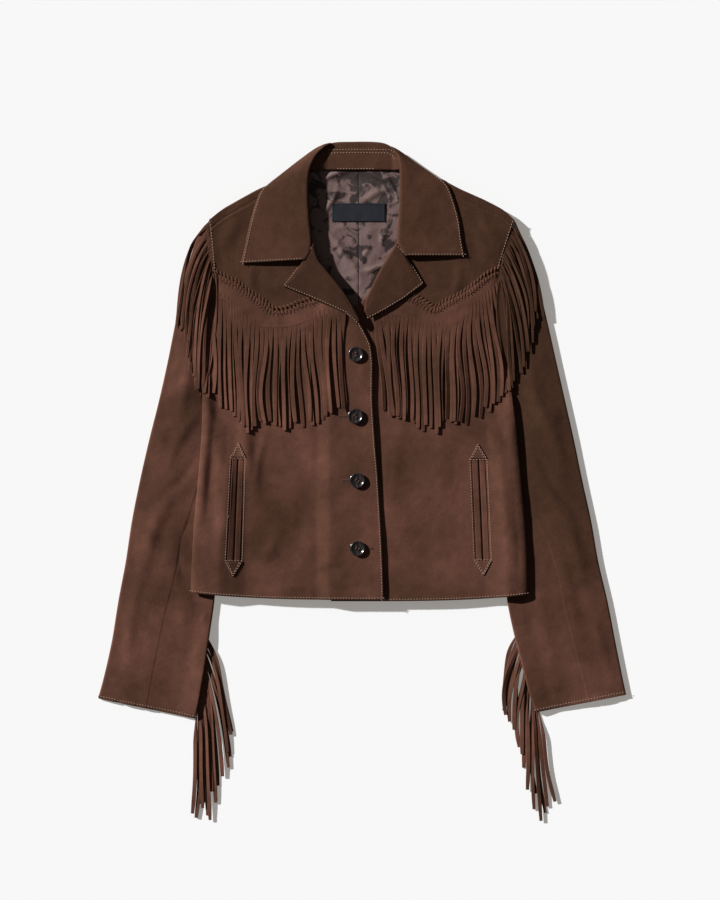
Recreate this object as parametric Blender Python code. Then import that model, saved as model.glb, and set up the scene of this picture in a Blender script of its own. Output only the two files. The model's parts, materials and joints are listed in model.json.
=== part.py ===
"""A short suede jacket with western yokes and fringe, buttoned and laid flat on its back.

Lengths are in millimetres until a mesh is made, which is in metres, with +Z up and +Y towards the collar.
The origin lies on the surface, below the middle of the jacket's outline. Left and right are the viewer's,
looking down at the fronts.
"""

import collections
import math

import bmesh
import bpy
import numpy as np
from mathutils import Vector
from mathutils.bvhtree import BVHTree

MM = 0.001

# Walls of the cloth pieces
BACK_WALL = 2.8
FRONT_WALL = 2.8
SLEEVE_WALL = 1.8
YOKE_WALL = 1.6
FRINGE_WALL = 1.3
COLLAR_WALL = 2.2
LAPEL_WALL = 1.8
LINING_WALL = 1.2
LABEL_WALL = 0.8
WELT_WALL = 1.5

# Gaps between pieces that lie on each other or meet at a seam
SEAM_GAP = 0.3
LAYER_GAP = 0.6
BODY_AIR = 2.4
BODY_AIR_AT_SIDES = 0.5
PLACKET_AIR = 1.2

# Body
UNDERARM_Y = 123.0
SHOULDER_TIP_Y = 327.7
NECK_Y = 396.0
HEM_Y = -153.4
BACK_HEM_Y = -151.0
HEM_RISE = 9.0
HEM_HALF_WIDTH = 217.0
OVERLAP_START = -58.0
OVERLAP_END = -42.0
OVERLAP_MIDDLE = -50.0
FRONT_TOP_Y = 380.0
UNDER_FRONT_DROP = 1.8

# Sleeves, laid flat beside and partly under the body
SLEEVE_HEIGHT = 4.6
BODY_LIFT = 5.8
SLEEVE_CROWN = 1.6
SHOULDER_RISE = 2.4
STRIP_LIFT = 2.2
REAR_SEAM_FROM_EDGE = 11.0
SLEEVE_SECTIONS = 20
FIRST_UNDER_SECTION = 5

# Collar and lapels
ROLL_RADIUS = 1.7
LAPEL_ROLL_RADIUS = 1.3
BAND_ROLL_RADIUS = 1.5
BAND_DEPTH_BEHIND = 8.0
NECK_SEAM_RISE = 1.9

# Fringe
FRONT_STRANDS = 36
SHOULDER_STRANDS = 8
SLEEVE_STRANDS = 7
STRAND_ROOT_WIDTH = 2.6
SHOULDER_FRINGE_AIR = 1.3
SHOULDER_STRAND_RISE = 1.4
SLEEVE_STRAND_RISE = 0.4
SHOULDER_TIP_WIDTH = 2.4
SLEEVE_TIP_WIDTH = 2.4
FRINGE_STRIP_WIDTH = 4.0
FLOOR_CLEARANCE = 0.7

# Buttons
BUTTON_RADIUS = 10.0
BUTTON_HEIGHT = 3.2
BUTTON_RIM = 1.6
BUTTON_HOLE_RADIUS = 1.0
BUTTON_HOLE_OFFSET = 2.4
BUTTON_SIDES = 16

BodyRow = collections.namedtuple("BodyRow", "y left right")
EdgeRow = collections.namedtuple("EdgeRow", "y x")
Armhole = collections.namedtuple("Armhole", "top_x bottom_x bow")
SleeveRow = collections.namedtuple("SleeveRow", "outer_x outer_y inner_x inner_y bow seam")
LeafRow = collections.namedtuple("LeafRow", "roll_x roll_y outer_x outer_y roll_top outer_top under")
YokeRow = collections.namedtuple("YokeRow", "top_x top_y line_x line_y")
FringeRow = collections.namedtuple("FringeRow", "slit_x slit_y tip_x tip_y")
FanRow = collections.namedtuple("FanRow", "root_x root_y bend_x bend_y tip_x tip_y")
BandRow = collections.namedtuple("BandRow", "seam_x seam_y fold_x fold_y")
LiningRow = collections.namedtuple("LiningRow", "y left right")
Fold = collections.namedtuple("Fold", "x y angle length width height")
Pocket = collections.namedtuple("Pocket", "top_x top_y bottom_x bottom_y half_top half_bottom")

# The body's outline from the neck down, armholes left out
SHOULDER_ROWS = [
    BodyRow(396.0, -52.0, 36.0),
    BodyRow(390.0, -66.0, 62.0),
    BodyRow(381.0, -98.0, 98.0),
    BodyRow(367.0, -132.7, 123.8),
    BodyRow(354.3, -155.6, 153.0),
    BodyRow(341.6, -178.4, 178.4),
    BodyRow(SHOULDER_TIP_Y, -194.0, 192.4),
]
SIDE_ROWS = [
    BodyRow(UNDERARM_Y, -201.6, 188.4),
    BodyRow(108.0, -202.7, 189.4),
    BodyRow(70.0, -203.0, 194.3),
    BodyRow(40.0, -205.0, 197.2),
    BodyRow(-5.0, -208.4, 201.3),
    BodyRow(-51.0, -213.0, 204.9),
    BodyRow(-95.0, -215.3, 207.6),
    BodyRow(HEM_Y, -217.4, 208.7),
]
ARMHOLES = {
    "left": Armhole(-194.3, -202.2, 10.5),
    "right": Armhole(192.8, 189.0, -20.0),
}

# Free edge of each front, from the neck down the roll line and then down the placket
FRONT_LEFT_EDGE = [
    EdgeRow(377.0, -71.8),
    EdgeRow(331.5, -71.0),
    EdgeRow(306.0, -66.7),
    EdgeRow(281.0, -59.0),
    EdgeRow(261.0, -46.4),
    EdgeRow(241.3, -30.4),
    EdgeRow(210.8, -12.0),
    EdgeRow(195.6, -2.0),
    EdgeRow(185.4, 3.2),
    EdgeRow(165.0, 13.4),
    EdgeRow(100.3, 12.9),
    EdgeRow(49.5, 15.9),
    EdgeRow(6.4, 19.7),
    EdgeRow(-81.3, 24.8),
    EdgeRow(HEM_Y, 27.3),
]
FRONT_RIGHT_EDGE = [
    EdgeRow(377.0, 52.7),
    EdgeRow(330.0, 48.9),
    EdgeRow(306.0, 47.6),
    EdgeRow(286.0, 36.2),
    EdgeRow(261.0, 23.5),
    EdgeRow(227.0, 1.9),
    EdgeRow(209.6, -16.0),
    EdgeRow(191.8, -31.0),
    EdgeRow(170.0, -40.0),
    EdgeRow(HEM_Y, -40.0),
]

# Sleeves from the armhole to the cuff: outer fold, inner fold, bow of the section and share of the front seam
SLEEVE_ROWS = {
    "left": [
        SleeveRow(-194.9, 327.0, -202.4, 123.5, 10.5, 0.955),
        SleeveRow(-211.5, 302.3, -204.8, 112.4, 6.0, 0.947),
        SleeveRow(-225.4, 251.5, -204.8, 97.0, 2.0, 0.93),
        SleeveRow(-236.9, 200.7, -192.5, 62.0, 0.0, 0.90),
        SleeveRow(-247.0, 149.9, -185.6, 27.0, 0.0, 0.85),
        SleeveRow(-258.4, 99.0, -184.8, -8.0, 0.0, 0.78),
        SleeveRow(-271.1, 48.3, -184.6, -42.0, 0.0, 0.69),
        SleeveRow(-282.6, -2.5, -185.2, -77.0, 0.0, 0.62),
        SleeveRow(-292.7, -53.3, -186.0, -114.0, 0.0, 0.57),
        SleeveRow(-300.4, -104.1, -187.7, -152.4, 0.0, 0.525),
        SleeveRow(-309.9, -154.9, -193.6, -195.0, 0.0, 0.49),
        SleeveRow(-318.1, -205.7, -200.0, -240.0, 0.0, 0.467),
        SleeveRow(-328.3, -251.5, -207.0, -281.0, 0.0, 0.47),
        SleeveRow(-335.5, -277.8, -211.5, -303.5, 0.0, 0.48),
    ],
    "right": [
        SleeveRow(193.6, 327.0, 189.4, 123.5, -20.0, 0.96),
        SleeveRow(203.8, 302.3, 192.2, 112.0, -11.0, 0.95),
        SleeveRow(221.6, 251.5, 193.4, 96.0, -3.0, 0.94),
        SleeveRow(234.3, 200.7, 183.0, 62.0, 0.0, 0.92),
        SleeveRow(245.7, 149.9, 177.3, 27.0, 0.0, 0.88),
        SleeveRow(257.2, 99.0, 177.0, -8.0, 0.0, 0.83),
        SleeveRow(268.6, 48.3, 177.8, -42.0, 0.0, 0.75),
        SleeveRow(279.1, -2.5, 179.0, -77.0, 0.0, 0.61),
        SleeveRow(290.2, -53.3, 181.0, -113.0, 0.0, 0.49),
        SleeveRow(299.1, -104.1, 183.0, -150.0, 0.0, 0.43),
        SleeveRow(310.9, -154.9, 191.0, -192.0, 0.0, 0.43),
        SleeveRow(320.7, -205.7, 203.0, -240.0, 0.0, 0.415),
        SleeveRow(329.9, -251.5, 212.5, -276.0, 0.0, 0.40),
        SleeveRow(334.5, -273.0, 220.1, -295.3, 0.0, 0.41),
    ],
}

# Collar leaves from the notch round to the back of the neck
LEAF_ROWS = {
    "left": [
        LeafRow(-73.0, 276.9, -154.3, 272.4, 17.0, 13.2, 16.0),
        LeafRow(-67.0, 293.4, -149.9, 290.8, 17.0, 13.2, 16.0),
        LeafRow(-67.0, 331.5, -141.0, 330.2, 17.5, 13.2, 16.0),
        LeafRow(-68.0, 362.0, -130.8, 360.7, 17.5, 13.2, 16.0),
        LeafRow(-67.3, 382.3, -120.7, 372.1, 17.0, 13.0, 13.0),
        LeafRow(-64.1, 397.5, -103.5, 385.5, 16.0, 11.0, 9.0),
        LeafRow(-56.5, 412.1, -83.2, 401.3, 13.5, 8.5, 6.0),
        LeafRow(-46.4, 421.6, -61.6, 417.2, 11.0, 7.0, 4.5),
        LeafRow(-38.5, 425.8, -48.0, 424.0, 9.0, 6.5, 3.5),
    ],
    "right": [
        LeafRow(54.0, 281.9, 130.2, 281.9, 17.0, 13.2, 16.0),
        LeafRow(43.8, 299.7, 126.4, 303.5, 17.0, 13.2, 16.0),
        LeafRow(45.1, 330.2, 122.6, 330.2, 17.5, 13.2, 16.0),
        LeafRow(46.4, 362.0, 113.7, 359.4, 17.5, 13.2, 16.0),
        LeafRow(46.7, 384.8, 106.0, 373.4, 17.0, 13.0, 13.0),
        LeafRow(46.4, 398.8, 88.3, 386.1, 16.0, 11.0, 9.0),
        LeafRow(43.2, 410.2, 65.4, 402.0, 13.5, 8.5, 6.0),
        LeafRow(38.1, 417.8, 52.2, 411.8, 11.0, 7.0, 4.5),
        LeafRow(34.0, 421.8, 42.5, 418.0, 9.0, 6.5, 3.5),
    ],
}
COLLAR_BAND_ROWS = [
    BandRow(-64.5, 391.5, -62.8, 396.6),
    BandRow(-57.0, 391.0, -54.6, 410.8),
    BandRow(-47.0, 391.0, -44.6, 420.4),
    BandRow(-36.0, 391.0, -34.5, 426.2),
    BandRow(-15.0, 391.0, -14.5, 427.9),
    BandRow(8.0, 391.0, 8.0, 428.0),
    BandRow(23.0, 391.0, 23.0, 426.3),
    BandRow(32.0, 391.0, 31.6, 422.4),
    BandRow(37.2, 391.0, 36.6, 416.8),
    BandRow(42.0, 391.0, 41.2, 409.6),
    BandRow(44.9, 391.5, 44.6, 397.6),
]

# Lapels from the gorge seam down to the first button
LAPEL_ROWS = {
    "left": [
        LeafRow(-63.6, 285.0, -73.0, 272.0, 16.6, 14.8, 5.0),
        LeafRow(-56.0, 279.0, -100.5, 243.8, 16.8, 12.8, 11.0),
        LeafRow(-42.6, 261.0, -73.0, 232.4, 17.6, 13.4, 11.0),
        LeafRow(-26.6, 241.3, -45.0, 220.2, 18.6, 16.2, 6.0),
        LeafRow(-13.3, 221.0, -22.2, 209.6, 18.6, 17.0, 4.5),
        LeafRow(-2.5, 201.5, -5.7, 194.3, 17.6, 16.6, 3.5),
    ],
    "right": [
        LeafRow(41.4, 293.5, 53.2, 276.6, 16.4, 14.4, 5.0),
        LeafRow(36.2, 288.0, 77.7, 246.4, 16.4, 12.8, 11.0),
        LeafRow(23.5, 267.0, 54.0, 228.6, 16.4, 12.8, 11.0),
        LeafRow(11.0, 242.0, 31.0, 214.6, 16.2, 13.2, 8.0),
        LeafRow(4.6, 227.0, 15.0, 206.0, 15.6, 13.2, 5.0),
        LeafRow(2.4, 213.0, 7.6, 202.4, 15.0, 13.2, 4.0),
    ],
}

YOKE_ROWS = {
    "left": [
        YokeRow(-192.8, 327.0, -186.8, 264.7),
        YokeRow(-180.0, 339.6, -173.4, 256.5),
        YokeRow(-164.0, 348.8, -160.0, 250.2),
        YokeRow(-146.0, 358.6, -144.2, 238.8),
        YokeRow(-130.0, 367.2, -127.6, 227.3),
        YokeRow(-115.0, 373.6, -112.4, 215.9),
        YokeRow(-99.0, 379.6, -95.1, 217.7),
        YokeRow(-86.0, 381.0, -79.4, 224.2),
        YokeRow(-75.0, 379.0, -58.0, 230.0),
    ],
    "right": [
        YokeRow(190.8, 327.0, 171.0, 268.7),
        YokeRow(178.0, 340.8, 154.3, 257.8),
        YokeRow(162.0, 349.4, 137.8, 243.8),
        YokeRow(144.0, 357.2, 121.3, 233.7),
        YokeRow(124.0, 366.2, 105.4, 226.0),
        YokeRow(108.0, 374.0, 90.8, 218.4),
        YokeRow(94.0, 380.0, 73.0, 228.6),
        YokeRow(76.0, 381.0, 60.0, 233.5),
        YokeRow(58.0, 379.0, 44.0, 236.0),
    ],
}

# Front fringe from side to side: where each slit starts and where the strands end
FRONT_FRINGE_ROWS = {
    "left": [
        FringeRow(-186.0, 236.0, -196.0, 108.0),
        FringeRow(-170.8, 223.5, -176.0, 92.0),
        FringeRow(-160.7, 211.8, -164.0, 82.5),
        FringeRow(-145.4, 197.9, -149.0, 70.0),
        FringeRow(-128.9, 191.0, -130.0, 68.0),
        FringeRow(-109.9, 190.5, -110.0, 70.0),
        FringeRow(-88.3, 191.8, -88.0, 67.3),
        FringeRow(-65.4, 200.7, -62.0, 74.9),
        FringeRow(-42.5, 207.6, -38.0, 86.4),
        FringeRow(-24.5, 203.2, -18.5, 91.4),
    ],
    "right": [
        FringeRow(18.4, 198.7, 24.5, 87.6),
        FringeRow(33.4, 204.0, 41.5, 81.3),
        FringeRow(54.0, 200.7, 59.0, 77.5),
        FringeRow(76.8, 194.3, 78.0, 67.3),
        FringeRow(92.1, 195.9, 94.6, 66.0),
        FringeRow(108.6, 200.7, 111.0, 72.0),
        FringeRow(127.6, 209.6, 129.0, 72.0),
        FringeRow(144.1, 217.2, 149.0, 85.1),
        FringeRow(158.7, 229.9, 168.0, 100.0),
        FringeRow(167.5, 240.0, 183.0, 112.0),
    ],
}

# Fringe fans: root, bend and tip of the first, a middle and the last strand
SHOULDER_FANS = {
    "left": [
        FanRow(-199.8, 319.0, -230.0, 292.0, -237.0, 190.0),
        FanRow(-196.0, 287.0, -219.0, 262.0, -223.0, 152.0),
        FanRow(-194.4, 254.0, -209.0, 234.0, -208.0, 118.0),
    ],
    "right": [
        FanRow(196.6, 319.0, 225.0, 294.0, 230.0, 213.0),
        FanRow(186.6, 287.0, 209.0, 258.0, 214.0, 170.0),
        FanRow(180.6, 254.0, 194.0, 226.0, 197.0, 124.0),
    ],
}
SLEEVE_FANS = {
    "left": [
        FanRow(-197.5, -208.0, -180.0, -236.0, -166.5, -321.0),
        FanRow(-202.5, -254.0, -190.0, -290.0, -190.0, -404.0),
        FanRow(-208.5, -294.0, -204.0, -330.0, -217.0, -418.5),
    ],
    "right": [
        FanRow(198.0, -208.0, 180.0, -224.0, 180.0, -290.0),
        FanRow(207.5, -250.0, 194.0, -284.0, 205.5, -372.0),
        FanRow(216.5, -286.0, 212.0, -322.0, 240.0, -421.5),
    ],
}

# Largest folds: centre, direction, half length, half width and height
FRONT_FOLDS = [
    Fold(-150.0, 10.0, 82.0, 70.0, 14.0, 0.9),
    Fold(-85.0, -60.0, 100.0, 60.0, 16.0, 0.8),
    Fold(95.0, 0.0, 88.0, 80.0, 16.0, 0.9),
    Fold(110.0, -110.0, 80.0, 36.0, 13.0, 0.8),
]
SLEEVE_FOLDS = [
    Fold(-246.0, 60.0, 60.0, 45.0, 12.0, 0.9),
    Fold(-268.0, -120.0, 78.0, 60.0, 13.0, 0.8),
    Fold(246.0, 75.0, 118.0, 45.0, 12.0, 0.9),
    Fold(262.0, -130.0, 100.0, 60.0, 13.0, 0.8),
]

# Pockets: middle of each mouth's ends and half the width of the two lips together
POCKETS = {
    "left": Pocket(-157.6, 26.9, -163.0, -103.8, 9.4, 10.6),
    "right": Pocket(147.0, 25.0, 152.5, -102.8, 10.8, 10.9),
}
POCKET_TAB_LENGTH = 19.0
POCKET_SLIT = 0.8

BUTTONS = [(-8.3, 157.7), (-8.8, 79.6), (-6.5, -1.8), (-6.2, -87.8)]
LABEL_BOX = (-38.7, 326.4, 28.6, 349.6)

# Lining of the back from the neck seam down to where the fronts close over it
LINING_ROWS = [
    LiningRow(394.0, -50.0, 34.0),
    LiningRow(388.0, -68.0, 56.0),
    LiningRow(372.0, -78.0, 58.0),
    LiningRow(330.0, -80.0, 60.0),
    LiningRow(260.0, -68.0, 54.0),
    LiningRow(205.0, -32.0, 34.0),
    LiningRow(176.0, -12.0, 16.0),
]

# Heights at which the body's panels have a row of points, and shares of the width for their columns
PANEL_HEIGHTS = [
    390, 384, 377, 367, 354, 341, 328, 310, 290, 270, 250, 230, 210, 190, 170, 148, 123, 112,
    100, 86, 68, 45, 10, -25, -60, -95, -125,
]
BACK_SHARES = (0.0, 0.03, 0.06, 0.1, 0.18, 0.34, 0.5, 0.66, 0.82, 0.9, 0.94, 0.97, 1.0)
RIGHT_FRONT_SHARES = (0.0, 0.15, 0.32, 0.5, 0.68, 0.78, 0.84, 0.9, 0.95, 1.0)
LEFT_FRONT_SHARES = (0.0, 0.05, 0.12, 0.22, 0.42, 0.62, 0.82)
OVERLAP_FROM_EDGE = (14.0, 10.0, 6.0)

SIDES = {"left": -1.0, "right": 1.0}


def ramp(low, high, value):
    """A smooth step from 0 at low to 1 at high."""
    share = min(max((value - low) / (high - low), 0.0), 1.0)
    return share * share * (3.0 - 2.0 * share)


def mix(start, end, share):
    return start + (end - start) * share


def smooth_rows(rows, count):
    """The rows of a table read as smooth curves, at a number of even steps."""
    values = np.array(rows)
    last = len(rows) - 1
    made = []
    for position in np.linspace(0.0, last, count):
        index = min(int(position), last - 1)
        share = position - index
        p0 = values[max(index - 1, 0)]
        p1 = values[index]
        p2 = values[index + 1]
        p3 = values[min(index + 2, last)]
        start = (p2 - p0) / 2.0
        end = (p3 - p1) / 2.0
        square = share * share
        cube = square * share
        point = (2 * cube - 3 * square + 1) * p1 + (cube - 2 * square + share) * start
        point = point + (3 * square - 2 * cube) * p2 + (cube - square) * end
        made.append(type(rows[0])(*map(float, point)))
    return made


def edge_x(rows, y):
    """The x of an edge table at a height y, with y falling from row to row."""
    return float(np.interp(-y, [-row.y for row in rows], [row.x for row in rows]))


def fold_height(folds, x, y):
    """The height that the folds add at a point."""
    total = 0.0
    for fold in folds:
        angle = math.radians(fold.angle)
        along = (x - fold.x) * math.cos(angle) + (y - fold.y) * math.sin(angle)
        across = (y - fold.y) * math.cos(angle) - (x - fold.x) * math.sin(angle)
        total += fold.height * math.exp(-((along / fold.length) ** 2) - (across / fold.width) ** 2)
    return total


def material(name, colour, roughness):
    made = bpy.data.materials.new(name)
    made.use_nodes = True
    shader = made.node_tree.nodes["Principled BSDF"]
    shader.inputs["Base Color"].default_value = (*colour, 1.0)
    shader.inputs["Roughness"].default_value = roughness
    shader.inputs["Metallic"].default_value = 0.0
    made.diffuse_color = (*colour, 1.0)
    return made


def finish(name, mesh_builder, surface):
    """A named object from a bmesh in millimetres, closed and facing out."""
    bmesh.ops.recalc_face_normals(mesh_builder, faces=mesh_builder.faces)
    if mesh_builder.calc_volume(signed=True) < 0.0:
        bmesh.ops.reverse_faces(mesh_builder, faces=mesh_builder.faces)
    for vertex in mesh_builder.verts:
        vertex.co = vertex.co * MM
    mesh = bpy.data.meshes.new(name)
    mesh_builder.to_mesh(mesh)
    mesh_builder.free()
    made = bpy.data.objects.new(name, mesh)
    bpy.context.scene.collection.objects.link(made)
    mesh.materials.append(surface)
    mesh.shade_smooth()
    mesh.set_sharp_from_angle(angle=math.radians(50.0))
    return made


def wall(name, lower, upper, surface):
    """A closed wall between two grids of points that match row by row."""
    built = bmesh.new()
    low = [[built.verts.new(point) for point in row] for row in lower]
    high = [[built.verts.new(point) for point in row] for row in upper]
    rows = len(low)
    columns = len(low[0])
    for i in range(rows - 1):
        for j in range(columns - 1):
            built.faces.new((high[i][j], high[i][j + 1], high[i + 1][j + 1], high[i + 1][j]))
            built.faces.new((low[i][j], low[i + 1][j], low[i + 1][j + 1], low[i][j + 1]))
    rim = [(0, j) for j in range(columns)]
    rim += [(i, columns - 1) for i in range(1, rows)]
    rim += [(rows - 1, j) for j in range(columns - 2, -1, -1)]
    rim += [(i, 0) for i in range(rows - 2, 0, -1)]
    for (i, j), (k, m) in zip(rim, rim[1:] + rim[:1]):
        built.faces.new((high[i][j], high[k][m], low[k][m], low[i][j]))
    return finish(name, built, surface)


def panel(name, grid, underside, thickness, surface):
    """A wall whose plan is a grid of (x, y) and whose underside is a height for each point."""
    lower = [[(x, y, underside(x, y)) for x, y in row] for row in grid]
    upper = [[(x, y, z + thickness) for x, y, z in row] for row in lower]
    return wall(name, lower, upper, surface)


def offset_path(path, thickness):
    """Both faces of a wall whose middle follows a path of (distance, height)."""
    points = np.array(path)
    tangents = np.gradient(points, axis=0)
    tangents /= np.linalg.norm(tangents, axis=1)[:, None]
    normals = np.stack([-tangents[:, 1], tangents[:, 0]], axis=1)
    return points + normals * thickness / 2.0, points - normals * thickness / 2.0


def surface_top(carriers):
    """A function that gives the highest point of the carriers at (x, y), or None."""
    trees = []
    for carrier in carriers:
        points = [vertex.co for vertex in carrier.data.vertices]
        faces = [tuple(face.vertices) for face in carrier.data.polygons]
        trees.append(BVHTree.FromPolygons(points, faces))

    def top(x, y):
        origin = Vector((x * MM, y * MM, 1.0))
        hits = [tree.ray_cast(origin, Vector((0.0, 0.0, -1.0)))[0] for tree in trees]
        heights = [hit.z / MM for hit in hits if hit is not None]
        return max(heights) if heights else None

    return top


def resting(carriers, gap, otherwise):
    """The height of something that lies on the carriers, and its height where they have ended."""
    top = surface_top(carriers)

    def height(x, y):
        found = top(x, y)
        return otherwise if found is None else found + gap

    return height


# Body


def armhole_x(side, y):
    hole = ARMHOLES[side]
    share = (SHOULDER_TIP_Y - y) / (SHOULDER_TIP_Y - UNDERARM_Y)
    return mix(hole.top_x, hole.bottom_x, share) + hole.bow * 4.0 * share * (1.0 - share)


def body_edge_x(side, y):
    """The side of the body at a height y: shoulder, armhole, then side seam."""
    rows = SHOULDER_ROWS + SIDE_ROWS
    if UNDERARM_Y < y < SHOULDER_TIP_Y:
        return armhole_x(side, y) - SIDES[side] * 2.0 * SEAM_GAP
    return float(np.interp(-y, [-row.y for row in rows], [getattr(row, side) for row in rows]))


def hem_shift(x, y):
    """How far the hem's ends rise, fading out above it."""
    share = min(max(y / HEM_Y, 0.0), 1.0)
    return HEM_RISE * min(abs(x) / HEM_HALF_WIDTH, 1.0) ** 3 * share * share


def spread(shares):
    """Columns at fixed shares of a row's width."""
    return lambda left, right: [mix(left, right, share) for share in shares]


def overlap_columns(left, right):
    """Columns of the upper front, close together where it climbs over the lower one."""
    climb = (OVERLAP_START, OVERLAP_MIDDLE, OVERLAP_END)
    stops = [min(x, right - inside) for x, inside in zip(climb, OVERLAP_FROM_EDGE)]
    columns = [mix(left, stops[0], share) for share in LEFT_FRONT_SHARES] + stops
    return columns + [mix(columns[-1], right, 0.5), right]


def body_grid(left_edge, right_edge, top_y, bottom_y, columns):
    """Points across the body, row by row from the top."""
    between = [y for y in PANEL_HEIGHTS if bottom_y + 8.0 < y < top_y - 3.0]
    heights = [top_y] + between + [bottom_y]
    grid = []
    for y in heights:
        grid.append([(x, y + hem_shift(x, y)) for x in columns(left_edge(y), right_edge(y))])
    return grid


def sleeve_inner_x(side, y):
    rows = SLEEVE_ROWS[side]
    return float(np.interp(-y, [-row.inner_y for row in rows], [row.inner_x for row in rows]))


def back_underside(x, y):
    """Flat on the surface, and lifted over the sleeves that lie under the sides."""
    side = "left" if x < 0 else "right"
    inside = (sleeve_inner_x(side, y) - x) * SIDES[side]
    over = 1.0 - ramp(3.0, 20.0, inside)
    below_arm = 1.0 - ramp(UNDERARM_Y - 20.0, UNDERARM_Y - 1.0, y)
    return BODY_LIFT * over * below_arm


def front_underside(x, y):
    side = "left" if x < 0 else "right"
    from_side = (body_edge_x(side, y) - x) * SIDES[side]
    air = mix(BODY_AIR_AT_SIDES, BODY_AIR, max(ramp(0.0, 30.0, from_side), ramp(290.0, 326.0, y)))
    folds = fold_height(FRONT_FOLDS, x, y) * ramp(4.0, 30.0, from_side)
    return back_underside(x, y) + BACK_WALL + air + folds


def front_left_underside(x, y):
    """The left front rises over the edge of the right one."""
    over = ramp(OVERLAP_START, OVERLAP_END, x) * (1.0 - ramp(236.0, 262.0, y))
    return front_underside(x, y) + over * (FRONT_WALL + PLACKET_AIR)


def make_body(suede, lining, label):
    made = {}

    def left_side(y):
        return body_edge_x("left", y)

    def right_side(y):
        return body_edge_x("right", y)

    def upper_front_edge(y):
        return edge_x(FRONT_LEFT_EDGE, y)

    def under_front_edge(y):
        return edge_x(FRONT_RIGHT_EDGE, y)

    grid = body_grid(left_side, right_side, NECK_Y, BACK_HEM_Y, spread(BACK_SHARES))
    made["back_panel"] = panel("back_panel", grid, back_underside, BACK_WALL, suede)

    grid = body_grid(left_side, upper_front_edge, FRONT_TOP_Y, HEM_Y, overlap_columns)
    made["front_left"] = panel("front_left", grid, front_left_underside, FRONT_WALL, suede)

    hem = HEM_Y - UNDER_FRONT_DROP
    grid = body_grid(under_front_edge, right_side, FRONT_TOP_Y, hem, spread(RIGHT_FRONT_SHARES))
    made["front_right"] = panel("front_right", grid, front_underside, FRONT_WALL, suede)

    grid = [[(mix(row.left, row.right, j / 4.0), row.y) for j in range(5)] for row in LINING_ROWS]
    height = resting([made["back_panel"]], LAYER_GAP - 0.2, 0.0)
    made["back_lining"] = panel("back_lining", grid, height, LINING_WALL, lining)

    left, bottom, right, top = LABEL_BOX
    grid = [[(mix(left, right, j / 4.0), mix(bottom, top, i / 2.0)) for j in range(5)] for i in range(3)]
    height = resting([made["back_lining"]], SEAM_GAP, 0.0)
    made["neck_label"] = panel("neck_label", grid, height, LABEL_WALL, label)
    return made


# Yokes and pockets


def make_yoke(side, front, suede):
    rows = smooth_rows(YOKE_ROWS[side], 13)
    grid = []
    for row in rows:
        steps = [0.0, 0.2, 0.45, 0.7, 0.88, 1.0]
        grid.append([(mix(row.top_x, row.line_x, s), mix(row.top_y, row.line_y, s)) for s in steps])
    height = resting([front], LAYER_GAP, BACK_WALL + FRONT_WALL + BODY_AIR + LAYER_GAP)
    return panel(f"yoke_{side}", grid, height, YOKE_WALL, suede)


def make_pocket(side, front, suede):
    """Two lips along the mouth and an arrow tab at each end."""
    pocket = POCKETS[side]
    height = resting([front], LAYER_GAP, 0.0)
    for number, sign in ((1, -1.0), (2, 1.0)):
        grid = []
        for i in range(7):
            share = i / 6.0
            x = mix(pocket.top_x, pocket.bottom_x, share)
            y = mix(pocket.top_y, pocket.bottom_y, share)
            half = mix(pocket.half_top, pocket.half_bottom, share)
            near = POCKET_SLIT / 2.0
            grid.append([(x + sign * mix(near, half, s), y) for s in (0.0, 0.5, 1.0)])
        panel(f"pocket_{side}_lip_{number}", grid, height, WELT_WALL, suede)
    ends = (
        ("top", pocket.top_x, pocket.top_y, pocket.half_top, 1.0),
        ("bottom", pocket.bottom_x, pocket.bottom_y, pocket.half_bottom, -1.0),
    )
    lean = (pocket.top_x - pocket.bottom_x) / (pocket.top_y - pocket.bottom_y)
    for end, x, y, half, up in ends:
        grid = []
        for share in (0.0, 0.5, 1.0):
            reach = 0.6 + share * POCKET_TAB_LENGTH
            middle = x + up * reach * lean
            width = mix(half, 0.8, share)
            grid.append([(middle + width * s, y + up * reach) for s in (-1.0, 0.0, 1.0)])
        panel(f"pocket_{side}_tab_{end}", grid, height, WELT_WALL, suede)


# Sleeves


def sleeve_top(row, along, share):
    """The height of the sleeve's upper face at a share of its width from the outer fold."""
    crown = SLEEVE_CROWN * ramp(0.0, 0.3, share) * (1.0 - ramp(0.4, 0.72, share)) * ramp(0.08, 0.3, along)
    rise = SHOULDER_RISE * (1.0 - ramp(0.0, 0.22, along)) * (1.0 - ramp(0.8, 1.0, share))
    x = mix(row.outer_x, row.inner_x, share)
    y = mix(row.outer_y, row.inner_y, share)
    folds = fold_height(SLEEVE_FOLDS, x, y) * ramp(0.0, 0.2, share) * (1.0 - ramp(0.5, 0.7, share))
    return SLEEVE_HEIGHT + crown + rise + folds


def strip_lift(row, from_inner):
    """Room under the inner fold for the strip that carries the fringe."""
    return STRIP_LIFT * (1.0 - ramp(9.0, 20.0, from_inner)) * (1.0 - ramp(-198.0, -178.0, row.inner_y))


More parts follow.
